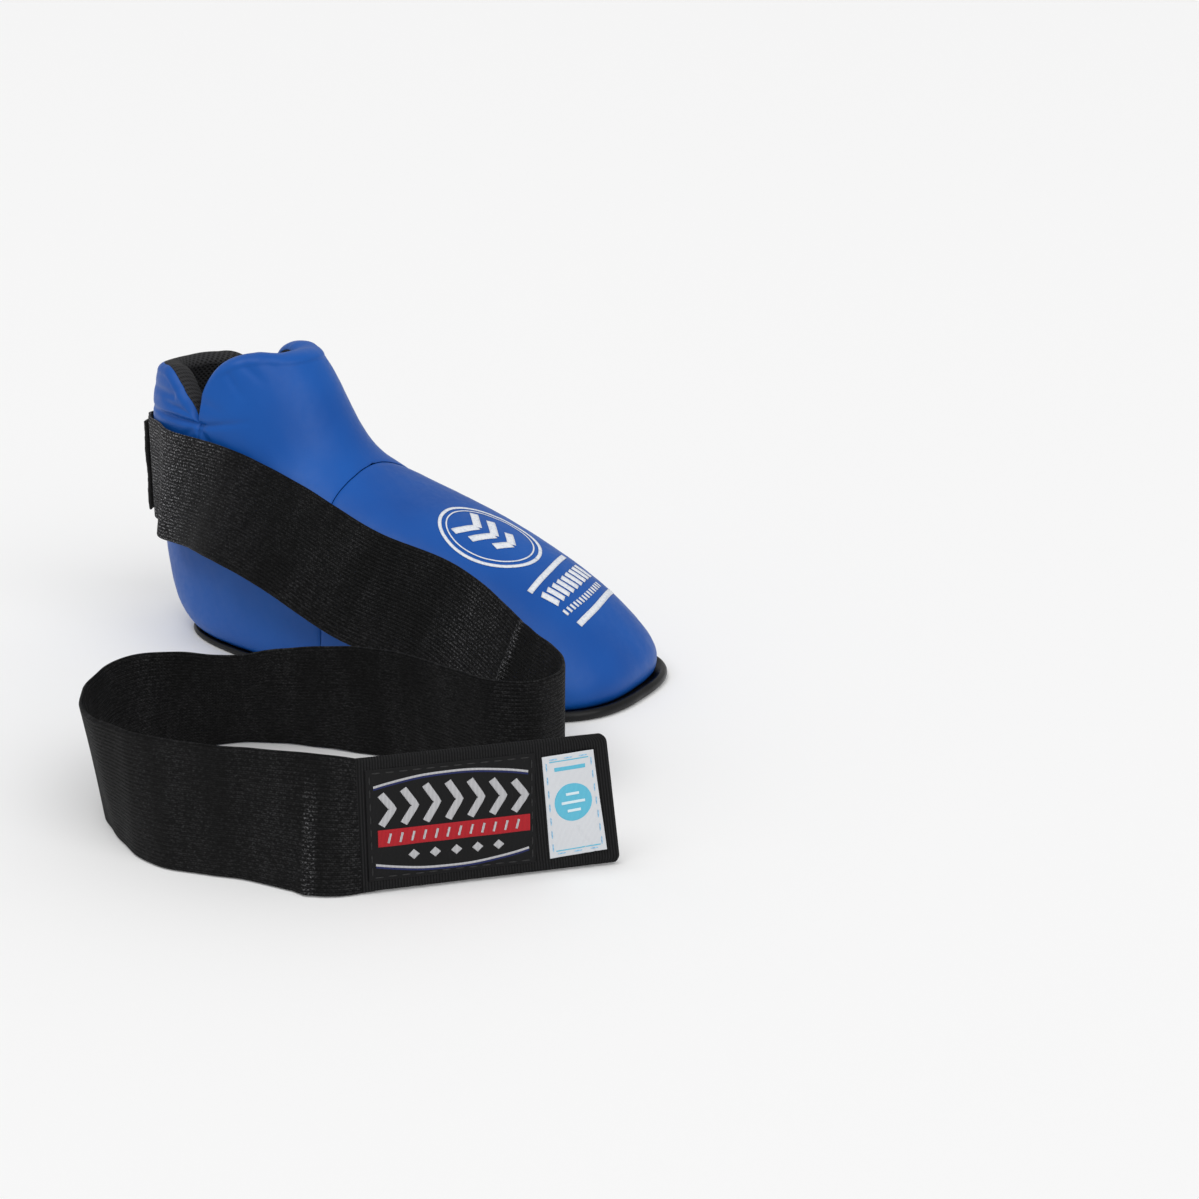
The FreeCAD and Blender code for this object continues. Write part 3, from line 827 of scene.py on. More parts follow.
# ---------------------------------------------------------------------------------------------
# Strap: one length of 55 mm ribbed elastic webbing. It starts behind the heel, comes down the near
# side, bends back at the toes and stands on its edge on the floor in an open loop up to the tab.
# ---------------------------------------------------------------------------------------------
strap_width = 55 * MM
strap_thick = 1.8 * MM
strap_top = 113.5 * MM
strap_off_floor = 0.4 * MM
strap_off_heel = 0.5 * MM
strap_off_side = 2.5 * MM
hinge_gap = 2.4 * MM
first_bend = np.array([286, -124, 0.4]) * MM
tab_turn = math.radians(44.5)
seam_turn = math.radians(13.5)
# round the heel, in degrees from the toe by the far side
HEEL_ARC = (150, 165, 180, 195, 208, 222)
# along the near side: x as a share of the length; distance beside the widest place, or None against
# the cover; height as a share of the drop; lean out and slant back in degrees
SIDE_RUN = [
    (0.023, None, 0.99, 5, 2),
    (0.119, None, 0.96, 12, 7),
    (0.258, None, 0.84, 40, 7),
    (0.400, None, 0.60, 46, 10),
    (0.565, None, 0.36, 31, 11),
    (0.704, -9.5, 0.26, 29, 14),
    (0.835, 1.5, 0.10, 23, 15),
    (0.970, 25.0, 0.00, 14, 12),
    (1.038, 38.5, 0.00, 8, 6),
]
# on the floor: place in mm from the first bend, and lean to the left in degrees
FLOOR_RUN = [
    (0, -1.2, 0),
    (-2, -10, 0),
    (-11, -17, 0),
    (-23, -18, 2),
    (-36, -14.5, 4),
    (-61, -7, 6),
    (-82, -3, 9),
    (-109, -8, 13),
    (-132, -15, 20),
    (-153, -28, 25),
    (-168, -45, 17),
    (-173, -73.8, 0),
    (-173, -76.2, 0),
    (-169, -90, -1),
    (-159.5, -106, -6),
    (-150, -117, -8),
    (-140, -124.5, -9),
    (-123, -132.3, -5),
    (-111, -136, -2),
    (-84, -135, 0),
    (-59, -129, 2),
    (-19.5, -119.5, 3),
]


def heel_lines(arc, low, high, clear):
    """Feet and tops of upright lines off the heel: each stands clear of the furthest point that the
    leather reaches, between low and high, in the direction square to the outline."""
    turns = np.radians(np.arange(90, 271, 6))[None, :]
    all_points = shell(turns, np.linspace(low, high, 7)[:, None]).reshape(-1, 3)
    feet = []
    for degrees in arc:
        near = shell(np.radians(degrees) + np.array([-0.01, 0.0, 0.01]), (low + high) / 2)
        along = near[2] - near[0]
        out = np.array([along[1], -along[0], 0.0]) / math.hypot(along[0], along[1])
        off = (all_points @ out).max() - near[1] @ out + clear
        feet.append((near[1] + out * off) * [1, 1, 0] + [0, 0, low])
    return np.array(feet), np.array(feet) + [0, 0, high - low]


def beside_cover(top, across):
    """Moves a cross line of webbing sideways until its whole width clears the leather."""
    line = top + across * (strap_width * np.linspace(0, 1, 13))[:, None]
    back, front, wide, half_width, n_front, n_back = level_values(line[:, 2])
    ahead = line[:, 0] > wide
    n = np.where(ahead, n_front, n_back)
    share = np.minimum(np.abs(line[:, 0] - wide) / np.where(ahead, front - wide, wide - back), 1)
    side = half_width * (1 - share**n) ** (1 / n) + strap_off_side + strap_thick / 2
    return np.array([top[0], -(side + line[:, 1] - top[1]).max(), top[2]])


def strap_edges():
    """The strap's lower and upper edges at every station, heel to tab."""
    round_heel = heel_lines(HEEL_ARC, strap_top - strap_width, strap_top, strap_off_heel + strap_thick / 2)
    low, high = (list(line) for line in round_heel)
    for share, beside, level, lean, slant in SIDE_RUN:
        lean, slant = math.radians(lean), math.radians(slant)
        down = math.cos(lean) * math.cos(slant)
        across = np.array([-math.sin(slant), -math.sin(lean) * math.cos(slant), -down])
        rise = max(level * (strap_top - strap_width), (down - 1) * strap_width + strap_off_floor)
        top = np.array(
            [cover_back + share * guard_length, -(guard_width / 2 + (beside or 0) * MM), rise + strap_width]
        )
        if beside is None:
            top = beside_cover(top, across)
        high.append(top)
        low.append(top + across * strap_width)
    for short in (6 * MM, 0.0):
        foot = first_bend + [-0.15 * short, hinge_gap / 2 + short, 0]
        low.append(foot)
        high.append(foot + [0, 0, strap_width])
    places = np.array([first_bend + np.array([x, y, 0]) * MM for x, y, lean in FLOOR_RUN])
    for i, place in enumerate(places):
        along = places[min(i + 1, len(places) - 1)] - places[max(i - 1, 0)]
        left = np.array([-along[1], along[0], 0]) / np.linalg.norm(along)
        lean = math.radians(FLOOR_RUN[i][2])
        shift = left * (strap_width / 2 * math.sin(lean))
        low.append(place - shift)
        high.append(place + shift + [0, 0, strap_width * math.cos(lean)])
    for x in (2.5 * MM, 6 * MM):
        foot = tab_seam + x * tab_along
        low.append(foot)
        high.append(foot + [0, 0, strap_width])
    return np.array(low), np.array(high)


seam_along = np.array([math.cos(seam_turn), math.sin(seam_turn), 0])
tab_along = np.array([math.cos(tab_turn), math.sin(tab_turn), 0])
tab_seam = first_bend + np.array([-19.5, -119.5, 0]) * MM + seam_along * hinge_gap / 2
strap_pitch = 1.6 * MM  # length of one row of the webbing's grid
fine_rows = 1500  # rows of the spline from which those rows are then spaced evenly
low_edge, high_edge = strap_edges()
stations = np.hstack([low_edge, high_edge])
middles = (low_edge + high_edge) / 2
knots = distances(middles)
fine = spline(knots, stations, np.linspace(0, knots[-1], fine_rows))
fine_middle = (fine[:, :3] + fine[:, 3:]) / 2
fine_length = distances(fine_middle)
strap_length = fine_length[-1]
along_strap = np.linspace(0, strap_length, int(strap_length / strap_pitch) + 1)
strap_lines = np.column_stack([np.interp(along_strap, fine_length, fine[:, k]) for k in range(6)])
strap_foot, strap_head = strap_lines[:, :3], strap_lines[:, 3:]


def strap_at(x, y):
    """Row of the strap whose middle is nearest to a place in mm."""
    middle = (strap_foot + strap_head) / 2
    return int(np.argmin(np.hypot(middle[:, 0] - x * MM, middle[:, 1] - y * MM)))


# soft folds across the webbing: place (x, y) in mm, half width in mm, height in mm, and the share
# of the webbing's width at which it has died out, counted from the lower edge
FOLDS = [
    (-23.5, -12, 1.7, 1.5, 3.0),
    (233, -79, 2.4, 2.0, 1.5),
    (246, -86, 3.0, -0.9, 1.2),
    (251, -249, 1.9, 0.9, 0.75),
    (244, -251, 2.2, -0.5, 0.6),
    (85, -60, 6.0, 0.5, 1.2),
    (150, -52, 7.0, -0.45, 1.4),
]

# where the webbing is painted paler, with more pale lint: partly real rubbing and lint, partly painted
# highlight on its folds and painted sheen round the heel. Place (x, y) in mm, half width in mm, strength,
# and the share of the webbing's width up to which it goes
LINT_AND_HIGHLIGHTS = [
    (-23.5, -12, 110, 1.7, 3.0),
    (207, -68, 28, 0.5, 1.4),
    (233, -79, 4.0, 1.1, 1.4),
    (251, -249, 4.0, 0.9, 0.9),
]


def strap_face(rows, share, thickness):
    """Points at a share of the webbing's width and a height off its middle surface, with the folds
    and a slight waviness, both square to the webbing."""
    foot, head = strap_foot[rows], strap_head[rows]
    middle = (strap_foot + strap_head) / 2
    along = np.gradient(middle, axis=0)[rows]
    square = np.cross(along, head - foot)
    square /= np.linalg.norm(square, axis=1)[:, None]
    at = along_strap[rows][:, None]
    wave = 0.3 * MM * np.sin(at / (7.1 * MM) + 2.2 * share) * np.sin(at / (23 * MM) + 1.1)
    wave = wave + 0.18 * MM * np.sin(at / (3.3 * MM) - 1.6 * share + 0.7)
    for x, y, width, height, dies in FOLDS:
        centre = along_strap[strap_at(x, y)] + 2.5 * MM * (share - 0.5)
        fade = 1 - smooth_step(share, 0.15 * dies, dies)
        wave = wave + height * MM * fade * np.exp(-(((at - centre) / (width * MM)) ** 2))
    off = (thickness + wave)[..., None] * square[:, None, :]
    return foot[:, None, :] + (head - foot)[:, None, :] * share[..., None] + off


def webbing_grid(first, last, flat_columns=31):
    """A closed length of webbing: columns go round its section, up the back face and down the front,
    with round selvedges, and each end closes on the middle surface."""
    half = strap_thick / 2
    edge = half / strap_width
    turn = np.radians(np.linspace(-90, 90, 7))
    flat = np.linspace(1 - edge, edge, flat_columns)
    share = np.concatenate([flat, edge * (1 - np.cos(turn)), flat[::-1], 1 - edge * (1 - np.cos(turn))])
    up_back, down_front = np.full(flat_columns, half), np.full(flat_columns, -half)
    height = np.concatenate([up_back, -half * np.sin(turn), down_front, half * np.sin(turn)])
    share, height = np.append(share, share[0]), np.append(height, height[0])
    rows = np.concatenate([[first], np.arange(first, last + 1), [last]])
    ends = np.ones(len(rows))
    ends[[0, -1]] = 0
    points = strap_face(rows, share[None, :] + 0 * ends[:, None], height[None, :] * ends[:, None])
    uv = np.stack(np.broadcast_arrays(along_strap[rows][:, None], share[None, :] * strap_width), axis=-1)
    return points, uv, False


# Ribbed elastic webbing: charcoal polyester knitted over rubber. Courses run along it 1.7 mm apart,
# each two rows of loops 1.4 mm long, some loops painted pale as glints; it is unevenly faded with painted
# highlight bands across it, and paler and linty where it is rubbed or where painted highlight marks its
# folds and painted sheen the heel
webbing, tree, shader = new_material("ribbed elastic webbing", "#101011", 0.7, Specular_IOR_Level=0.15)
where = add_node(tree, "ShaderNodeUVMap", {"uv_map": "UVMap"})
# the loops' two blacks: the paler loops stand partly for painted glints of sheen on the knit
loops = add_node(
    tree, "ShaderNodeTexBrick",
    {"offset": 0.5, "Scale": 1.0, "Brick Width": 1.4 * MM, "Row Height": 0.85 * MM, "Mortar Size": 0.2 * MM,
     "Mortar Smooth": 0.7, "Bias": -0.25, "Color1": linear("#060607"), "Color2": linear("#242425"),
     "Mortar": linear("#020202")},
    {"Vector": where.outputs["UV"]},
)
courses = add_node(tree, "ShaderNodeTexWave", {"bands_direction": "Y", "Scale": wave_scale(1.7 * MM)},
                   {"Vector": where.outputs["UV"]})
lint = add_node(tree, "ShaderNodeTexNoise", {"Scale": 1 / (0.9 * MM), "Detail": 3.0, "Roughness": 0.7},
                {"Vector": where.outputs["UV"]})
# long crosswise bands, paler and darker in turn: partly uneven fading, partly painted highlight from the
# webbing's waviness and folds
bands = add_node(tree, "ShaderNodeMapping", {"Scale": (1.0, 0.22, 1.0)}, {"Vector": where.outputs["UV"]})
wear_and_highlight_bands = add_node(tree, "ShaderNodeTexNoise", {"Scale": 1 / (17 * MM), "Detail": 4.0, "Roughness": 0.6},
                {"Vector": bands.outputs["Vector"]})
speck = add_node(tree, "ShaderNodeMapRange", {"From Min": 0.52, "From Max": 0.66, "To Max": 1.0},
                 {"Value": lint.outputs["Fac"]})
place = add_node(tree, "ShaderNodeSeparateXYZ", None, {"Vector": where.outputs["UV"]})
# the mask below paints the webbing paler and linty: partly real rubbing, partly painted highlight on folds
# and painted sheen round the heel
lint_and_highlight = None
for x, y, half_width, gain, top in LINT_AND_HIGHLIGHTS:
    centre = along_strap[strap_at(x, y)]
    from_it = add_node(tree, "ShaderNodeMath", {"operation": "SUBTRACT", 1: centre},
                       {0: place.outputs["X"]})
    distance = add_node(tree, "ShaderNodeMath", {"operation": "ABSOLUTE"}, {0: from_it.outputs["Value"]})
    near = add_node(tree, "ShaderNodeMapRange",
                    {"interpolation_type": "SMOOTHSTEP", "From Min": 0.3 * half_width * MM,
                     "From Max": half_width * MM, "To Min": gain, "To Max": 0.0},
                    {"Value": distance.outputs["Value"]})
    below = add_node(tree, "ShaderNodeMapRange",
                     {"From Min": 0.6 * top * strap_width, "From Max": top * strap_width, "To Min": 1.0,
                      "To Max": 0.0}, {"Value": place.outputs["Y"]})
    both = add_node(tree, "ShaderNodeMath", {"operation": "MULTIPLY"},
                    {0: near.outputs["Result"], 1: below.outputs["Result"]})
    if lint_and_highlight is None:
        lint_and_highlight = both
    else:
        lint_and_highlight = add_node(tree, "ShaderNodeMath", {"operation": "MAXIMUM"},
                          {0: lint_and_highlight.outputs["Value"], 1: both.outputs["Value"]})
# pale lint specks, most under that mask: partly real lint, partly painted glints of sheen
share_on = add_node(tree, "ShaderNodeMath", {"operation": "MULTIPLY_ADD", 1: 0.8, 2: 0.2},
                    {0: lint_and_highlight.outputs["Value"]})
on_course = add_node(tree, "ShaderNodeMath", {"operation": "MULTIPLY"},
                     {0: speck.outputs["Result"], 1: courses.outputs["Fac"]})
lint_and_glints = add_node(tree, "ShaderNodeMath", {"operation": "MULTIPLY", "use_clamp": True},
                 {0: on_course.outputs["Value"], 1: share_on.outputs["Value"]})
with_lint_and_glints = add_node(tree, "ShaderNodeMix", {"data_type": "RGBA", "blend_type": "MIX"})
with_lint_and_glints.inputs[7].default_value = linear("#6C6C6E")
tree.links.new(lint_and_glints.outputs["Value"], with_lint_and_glints.inputs[0])
tree.links.new(loops.outputs["Color"], with_lint_and_glints.inputs[6])
faded_and_highlit = add_node(tree, "ShaderNodeHueSaturation", None, {"Color": with_lint_and_glints.outputs[2]})
# fade sets the webbing's lightness from those bands: uneven fading with painted highlight
fade = add_node(tree, "ShaderNodeMapRange",
                {"From Min": 0.38, "From Max": 0.68, "To Min": 0.55, "To Max": 2.0},
                {"Value": wear_and_highlight_bands.outputs["Fac"]})
# the mask adds painted highlight to the webbing's lightness
paler = add_node(tree, "ShaderNodeMath", {"operation": "MULTIPLY_ADD", 1: 1.2},
                 {0: lint_and_highlight.outputs["Value"], 2: fade.outputs["Result"]})
tree.links.new(paler.outputs["Value"], faded_and_highlit.inputs["Value"])
tree.links.new(faded_and_highlit.outputs["Color"], shader.inputs["Base Color"])
relief = add_node(tree, "ShaderNodeMath", {"operation": "MULTIPLY_ADD", 1: -1.0}, {0: loops.outputs["Fac"]})
tree.links.new(courses.outputs["Fac"], relief.inputs[2])
bump = add_node(tree, "ShaderNodeBump", {"Strength": 0.9, "Distance": 0.5 * MM},
                {"Height": relief.outputs["Value"]})
tree.links.new(bump.outputs["Normal"], shader.inputs["Normal"])

# the webbing is cut in the floor run's own places, into four lengths
cut_1 = strap_at(286 - 30, -124 - 16.5)
cut_2 = strap_at(286 - 168, -124 - 45)
cut_3 = strap_at(286 - 169, -124 - 90)
last_row = len(along_strap) - 1
runs = [
    ("strap_side", 0, cut_1, "strap_side_run", "stretched", ("ankle_panel",)),
    ("strap_loop_rear", cut_1, cut_2, "strap_rear_run", "laid", ()),
    ("strap_loop_bend", cut_2, cut_3, None, "laid", ()),
    ("strap_loop_front", cut_3, last_row, "strap_front_run", "laid", ()),
]
strap_run = {}
for name, first, last, node, held, rests_on in runs:
    run = make_surface(name, [webbing_grid(first, last)], webbing, 0.01 * MM)
    if node:
        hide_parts(node)
    strap_run[name] = run
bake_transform(strap_run["strap_side"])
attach(strap_run["strap_loop_rear"], "strap_rear")
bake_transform(strap_run["strap_loop_bend"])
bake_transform(strap_run["strap_loop_front"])

# ---------------------------------------------------------------------------------------------
# Tab: the strap's end, folded double over the fastener's backing and hemmed all round. The hems
# stand up a little, and their knitted loops run across the strap.
# ---------------------------------------------------------------------------------------------
tab_length = 104 * MM
tab_thick = 3 * MM
tab_skew = 6 * MM
tab_corner = 3.5 * MM
tab_edge = 1.4 * MM
hem_width = 5 * MM
tab_back = np.array([-tab_along[1], tab_along[0], 0])


def on_tab(x, out, z):
    """Points from the tab's own measures: along it, out from its middle towards the front, and up."""
    x, out, z = np.broadcast_arrays(x, out, z)
    return tab_seam + x[..., None] * tab_along - out[..., None] * tab_back + z[..., None] * [0, 0, 1]


def crowded(low, high, edge, step):
    """Values from low to high, a step apart, with more of them within the two rounded edges."""
    round_in = edge * (1 - np.cos(np.linspace(0, np.pi / 2, 5)))
    middle = np.linspace(low + edge, high - edge, max(int((high - low) / step), 2) + 1)
    return np.concatenate([low + round_in[:-1], middle, high - round_in[:-1][::-1]])


def rounded(x, z, edge):
    """0 on a rectangle's border and 1 inside, rising as a quarter circle over the edge's width."""
    from_border = np.minimum(np.minimum(x - x.min(), x.max() - x), np.minimum(z - z.min(), z.max() - z))
    return np.sqrt(1 - (1 - np.clip(from_border / edge, 0, 1)) ** 2)


def plate(left, right, low, high, base, face, edge=0.3 * MM, skew=0.0, shape=None, step=1.0 * MM):
    """A closed plate on the tab, from base to face out from its middle, with rounded edges. Its top
    is cut back by skew. shape(x, z) is added to the height of the whole plate."""
    x, z = np.meshgrid(crowded(left, right, edge, step), crowded(low, high, edge, step))
    rise = rounded(x, z, edge)
    share = (x - left) / (right - left)
    bend = shape(x, z) if shape else 0.0 * x
    slanted = x - skew * share * (z - low) / (high - low)
    uv = np.stack([x, z], axis=-1)
    front = on_tab(slanted, base + (face - base) * rise + bend, z)
    back = on_tab(slanted, base + bend, z)
    return [(front, uv, False), (back, uv, True)]


def hems(x, z):
    """Height of the tab's front above its flat middle: a smooth step up to the hems."""
    from_edge = np.minimum(np.minimum(z, strap_width - z), tab_length - x)
    return 0.35 * MM * (1 - smooth_step(from_edge, hem_width - 0.5 * MM, hem_width + 0.7 * MM))


def tab_grids():
    """The tab's two faces: half its thickness, with the hems' rise and their fine ripple, times the
    rounding at the border. The outer end is cut slanting, with its corners rounded off."""
    x, z = np.meshgrid(crowded(hinge_gap / 4, tab_length, tab_edge, 0.8 * MM),
                       crowded(0, strap_width, tab_edge, 0.8 * MM))
    half = (tab_thick / 2 - 0.3 * MM + hems(x, z)) * rounded(x, z, tab_edge)
    ripple = 0.1 * MM * np.sin(x / (0.9 * MM)) * (hems(x, z) > 0.2 * MM)
    from_corner = np.clip(1 - np.minimum(z, strap_width - z) / tab_corner, 0, 1)
    cut_off = tab_corner * (1 - np.sqrt(1 - from_corner**2)) * smooth_step(x, 0.8 * tab_length, tab_length)
    slanted = x - tab_skew * x / tab_length * z / strap_width - cut_off
    uv = np.stack([x, z], axis=-1)
    front = on_tab(slanted, half + ripple * rounded(x, z, tab_edge), z + strap_off_floor)
    back = on_tab(slanted, -half, z + strap_off_floor)
    return [(front, uv, False), (back, uv, True)]


# Hemmed webbing: the strap's black knit turned round, in ribs about 1.1 mm apart across the hems
hemmed, tree, shader = new_material("hemmed elastic webbing", "#0E0E0F", 0.72, Specular_IOR_Level=0.14)
where = add_node(tree, "ShaderNodeUVMap", {"uv_map": "UVMap"})
ribs = add_node(
    tree, "ShaderNodeTexWave",
    {"bands_direction": "X", "Scale": wave_scale(1.15 * MM), "Distortion": 0.6, "Detail": 2.0},
    {"Vector": where.outputs["UV"]},
)
lint = add_node(tree, "ShaderNodeTexNoise", {"Scale": 1 / (0.8 * MM), "Detail": 3.0, "Roughness": 0.7},
                {"Vector": where.outputs["UV"]})
tone = add_node(tree, "ShaderNodeMath", {"operation": "MULTIPLY"},
                {0: ribs.outputs["Fac"], 1: lint.outputs["Fac"]})
yarn = add_node(tree, "ShaderNodeValToRGB", None, {"Fac": tone.outputs["Value"]})
yarn.color_ramp.elements[0].color = linear("#060607")
yarn.color_ramp.elements[1].position = 0.7
yarn.color_ramp.elements[1].color = linear("#262627")
tree.links.new(yarn.outputs["Color"], shader.inputs["Base Color"])
bump = add_node(tree, "ShaderNodeBump", {"Strength": 0.6, "Distance": 0.3 * MM},
                {"Height": tone.outputs["Value"]})
tree.links.new(bump.outputs["Normal"], shader.inputs["Normal"])
tab = make_surface("strap_end_tab", tab_grids(), hemmed, 0.005 * MM)
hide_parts("strap_tab")
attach(tab, "tab")

# ---------------------------------------------------------------------------------------------
# Woven label: black satin sewn flat to the tab's front, with raised motifs in silver, red and navy
# thread. The motifs are plain: two arcs, a row of chevrons, a bar of dashes and five diamonds.
# ---------------------------------------------------------------------------------------------
label_left, label_right = 3.5 * MM, 69.5 * MM
label_low, label_high = 4.5 * MM, 50.5 * MM
label_base = 1.0 * MM
label_face = 1.85 * MM


def label_swell(x, z):
    """The label puckers between its stitches: two shallow waves."""
    return 0.12 * MM * np.sin(x / (3.1 * MM)) * np.sin(z / (4.3 * MM))


def thread_line(points, width, face, flat=0.6, thick=0.28 * MM, shape=label_swell):
    """A raised line of thread on the tab through points (x, z) in mm: a closed flattened tube, whose
    section is a superellipse, width wide, which may change along it."""
    points = np.array(points, float) * MM
    width = np.broadcast_to(np.array(width, float) * MM, len(points))
    along = np.gradient(points, axis=0)
    along /= np.linalg.norm(along, axis=1)[:, None]
    side = np.column_stack([-along[:, 1], along[:, 0]])
    turn = np.linspace(0, 2 * np.pi, 13)
    across, up = (np.sign(f) * np.abs(f) ** flat for f in (np.cos(turn), np.sin(turn)))
    rows = np.concatenate([[0], np.arange(len(points)), [len(points) - 1]])
    open_part = np.ones(len(rows))
    open_part[[0, -1]] = 0
    reach = width[rows, None] / 2 * across * np.maximum(open_part, 0.02)[:, None]
    x = points[rows, 0, None] + side[rows, 0, None] * reach
    z = points[rows, 1, None] + side[rows, 1, None] * reach
    height = face + thick * up * open_part[:, None] + shape(x, z)
    return on_tab(x, height, z + strap_off_floor), np.stack([x, z], axis=-1), True


def line_of(start, end, count=9):
    """Evenly spaced points (x, z) from start to end."""
    return np.column_stack([np.linspace(start[0], end[0], count), np.linspace(start[1], end[1], count)])


def arc_line(middle, reach, low, rise, count=41):
    """A parabola z = low + rise (1 - s * s), for s from -1 to 1 across x = middle -+ reach."""
    t = np.linspace(-1, 1, count)
    return np.column_stack([middle + reach * t, low + rise * (1 - t * t)])


def label_motifs():
    """The label's raised threads by colour: silver and navy arcs, silver chevrons, dashes and
    diamonds, and the red bar. All places are in mm on the tab."""
    silver, red, navy = [], [], []
    middle = (label_left + label_right) / 2 / MM
    for low, rise in ((43.2, 3.6), (11.4, -3.6)):
        silver.append(thread_line(arc_line(middle, 30, low, rise), 0.9, label_face))
        navy.append(thread_line(arc_line(middle, 30, low - 0.9, rise), 0.8, label_face, thick=0.16 * MM))
    for i in range(7):
        x = middle + 0.8 + (i - 3) * 8.6
        top, foot = 42.6 - 0.28 * (i - 3) ** 2, 27.4
        tip = (x + 2.3, (top + foot) / 2)
        chevron = np.vstack([line_of((x - 2.3, top), tip, 7), line_of(tip, (x - 2.3, foot), 7)[1:]])
        silver.append(thread_line(chevron, 2.9, label_face))
    bar = line_of((middle - 28.8, 22.0), (middle + 30.6, 22.0), 41)
    red.append(thread_line(bar, 7.0, label_face, flat=0.3))
    for i in range(12):
        x = middle - 24.4 + 4.55 * i
        silver.append(thread_line(line_of((x - 0.5, 20.1), (x + 0.5, 23.9)), 0.9, label_face + 0.22 * MM))
    for i in range(5):
        x = middle + 1.4 + (i - 2) * 8.3
        row = line_of((x - 2.1, 14.2), (x + 2.1, 14.2), 9)
        silver.append(thread_line(row, 4.2 * (1 - np.abs(np.linspace(-0.97, 0.97, 9))), label_face))
    return silver, red, navy


def woven(name, hex_colour, hex_dark, roughness=0.5):
    """Satin-stitched rayon thread: fine parallel threads, drawn 0.5 mm apart so that they show."""
    material, tree, shader = new_material(name, hex_colour, roughness, Specular_IOR_Level=0.2)
    where = add_node(tree, "ShaderNodeUVMap", {"uv_map": "UVMap"})
    threads = add_node(
        tree, "ShaderNodeTexWave",
        {"bands_direction": "X", "Scale": wave_scale(0.5 * MM), "Distortion": 0.8, "Detail": 1.0},
        {"Vector": where.outputs["UV"]},
    )
    shade = add_node(tree, "ShaderNodeValToRGB", None, {"Fac": threads.outputs["Fac"]})
    shade.color_ramp.elements[0].color = linear(hex_dark)
    shade.color_ramp.elements[1].color = linear(hex_colour)
    tree.links.new(shade.outputs["Color"], shader.inputs["Base Color"])
    bump = add_node(tree, "ShaderNodeBump", {"Strength": 0.5, "Distance": 0.15 * MM},
                    {"Height": threads.outputs["Fac"]})
    tree.links.new(bump.outputs["Normal"], shader.inputs["Normal"])
    return material


label = make_surface(
    "satin_label",
    plate(label_left, label_right, label_low + strap_off_floor, label_high + strap_off_floor,
          label_base, label_face, edge=0.5 * MM, shape=label_swell),
    woven("black satin weave", "#0D0D0F", "#060607", 0.5), 0.005 * MM,
)
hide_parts("woven_label")
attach(label, "tab")
motifs = (
    ("label_silver_thread", "silver rayon thread", "#D2D2D4", "#8F8F93"),
    ("label_red_thread", "red rayon thread", "#C0212B", "#8E1620"),
    ("label_navy_thread", "navy rayon thread", "#27306B", "#151A3D"),
)
for (name, kind, colour, dark), grids in zip(motifs, label_motifs()):
    motif = make_surface(name, grids, woven(kind, colour, dark), 0.003 * MM)
    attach(motif, "tab")

# ---------------------------------------------------------------------------------------------
# Approval tag: a small white satin tag sewn on at the tab's end with light-blue thread, printed in
# cyan with a plain disc and bars. Its outer edge has started to curl, and its face is creased.
# ---------------------------------------------------------------------------------------------
tag_left, tag_right = 73.5 * MM, 96.5 * MM
tag_low, tag_high = 6 * MM, 49 * MM
tag_skew = 2.6 * MM
tag_tilt = math.radians(4)
tag_base = 1.55 * MM
tag_face = 1.85 * MM


def tag_bend(x, z):
    """The tag curls off the webbing at its outer edge, and two creases cross its lower part."""
    share = (x - tag_left) / (tag_right - tag_left)
    bend = 0.9 * MM * share**3 * (0.5 + 0.5 * np.sin(z / (7 * MM)))
    bend = bend + 0.12 * MM * np.sin(x / (3.4 * MM) + z / (6.1 * MM))
    for start, slope in ((81 * MM, 0.55), (84 * MM, 0.2)):
        off = (x - start) - slope * (26 * MM - z)
        bend = bend - 0.22 * MM * np.exp(-((off / (0.45 * MM)) ** 2)) * smooth_step(-z, -20 * MM, -17 * MM)
    return bend


def tag_print(points, width):
    """A flat printed line on the tag, leaning as the tag does."""
    points = np.array(points, float)
    share = (points[:, 0] * MM - tag_left) / (tag_right - tag_left)
    points[:, 0] -= tag_skew / MM * share * (points[:, 1] * MM - tag_low) / (tag_high - tag_low)
    return thread_line(points, width, tag_face, flat=0.3, thick=0.1 * MM, shape=tag_bend)


def askew(grids):
    """The tag's grids turned by tag_tilt in the tab's plane about the tag's middle, as it is sewn on
    askew: x becomes x cos - z sin, and z becomes x sin + z cos."""
    middle = on_tab((tag_left + tag_right) / 2, tag_face, (tag_low + tag_high) / 2 + strap_off_floor)
    c, s = math.cos(tag_tilt), math.sin(tag_tilt)
    turned = []
    for points, uv, flip in grids:
        x, z = (points - middle) @ tab_along, (points - middle)[..., 2]
        along, up = x * (c - 1) - z * s, x * s + z * (c - 1)
        turned.append((points + along[..., None] * tab_along + up[..., None] * [0, 0, 1], uv, flip))
    return turned


tag = make_surface(
    "satin_tag",
    askew(plate(tag_left, tag_right, tag_low + strap_off_floor, tag_high + strap_off_floor,
                tag_base, tag_face, edge=0.25 * MM, skew=tag_skew, shape=tag_bend, step=0.5 * MM)),
    woven("white satin ribbon", "#DFE1E4", "#CBCED3", 0.42), 0.003 * MM,
)
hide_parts("approval_tag")
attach(tag, "tab")
disc_x, disc_z, disc_radius = 85.2, 28.5, 8.0
chord = np.linspace(-0.995, 0.995, 41)
cyan_lines = [
    tag_print(np.column_stack([disc_x + disc_radius * chord, np.full(41, disc_z)]),
              2 * disc_radius * np.sqrt(1 - chord**2)),
    tag_print(line_of((78.5, 43.0), (92.0, 43.0), 15), 1.7),
]
for x, z, half in ((85.2, 46.4, 8.6), (85.2, 8.8, 9.0)):
    cyan_lines.append(tag_print(line_of((x - half, z), (x + half, z), 15), 0.45))
white_lines = []
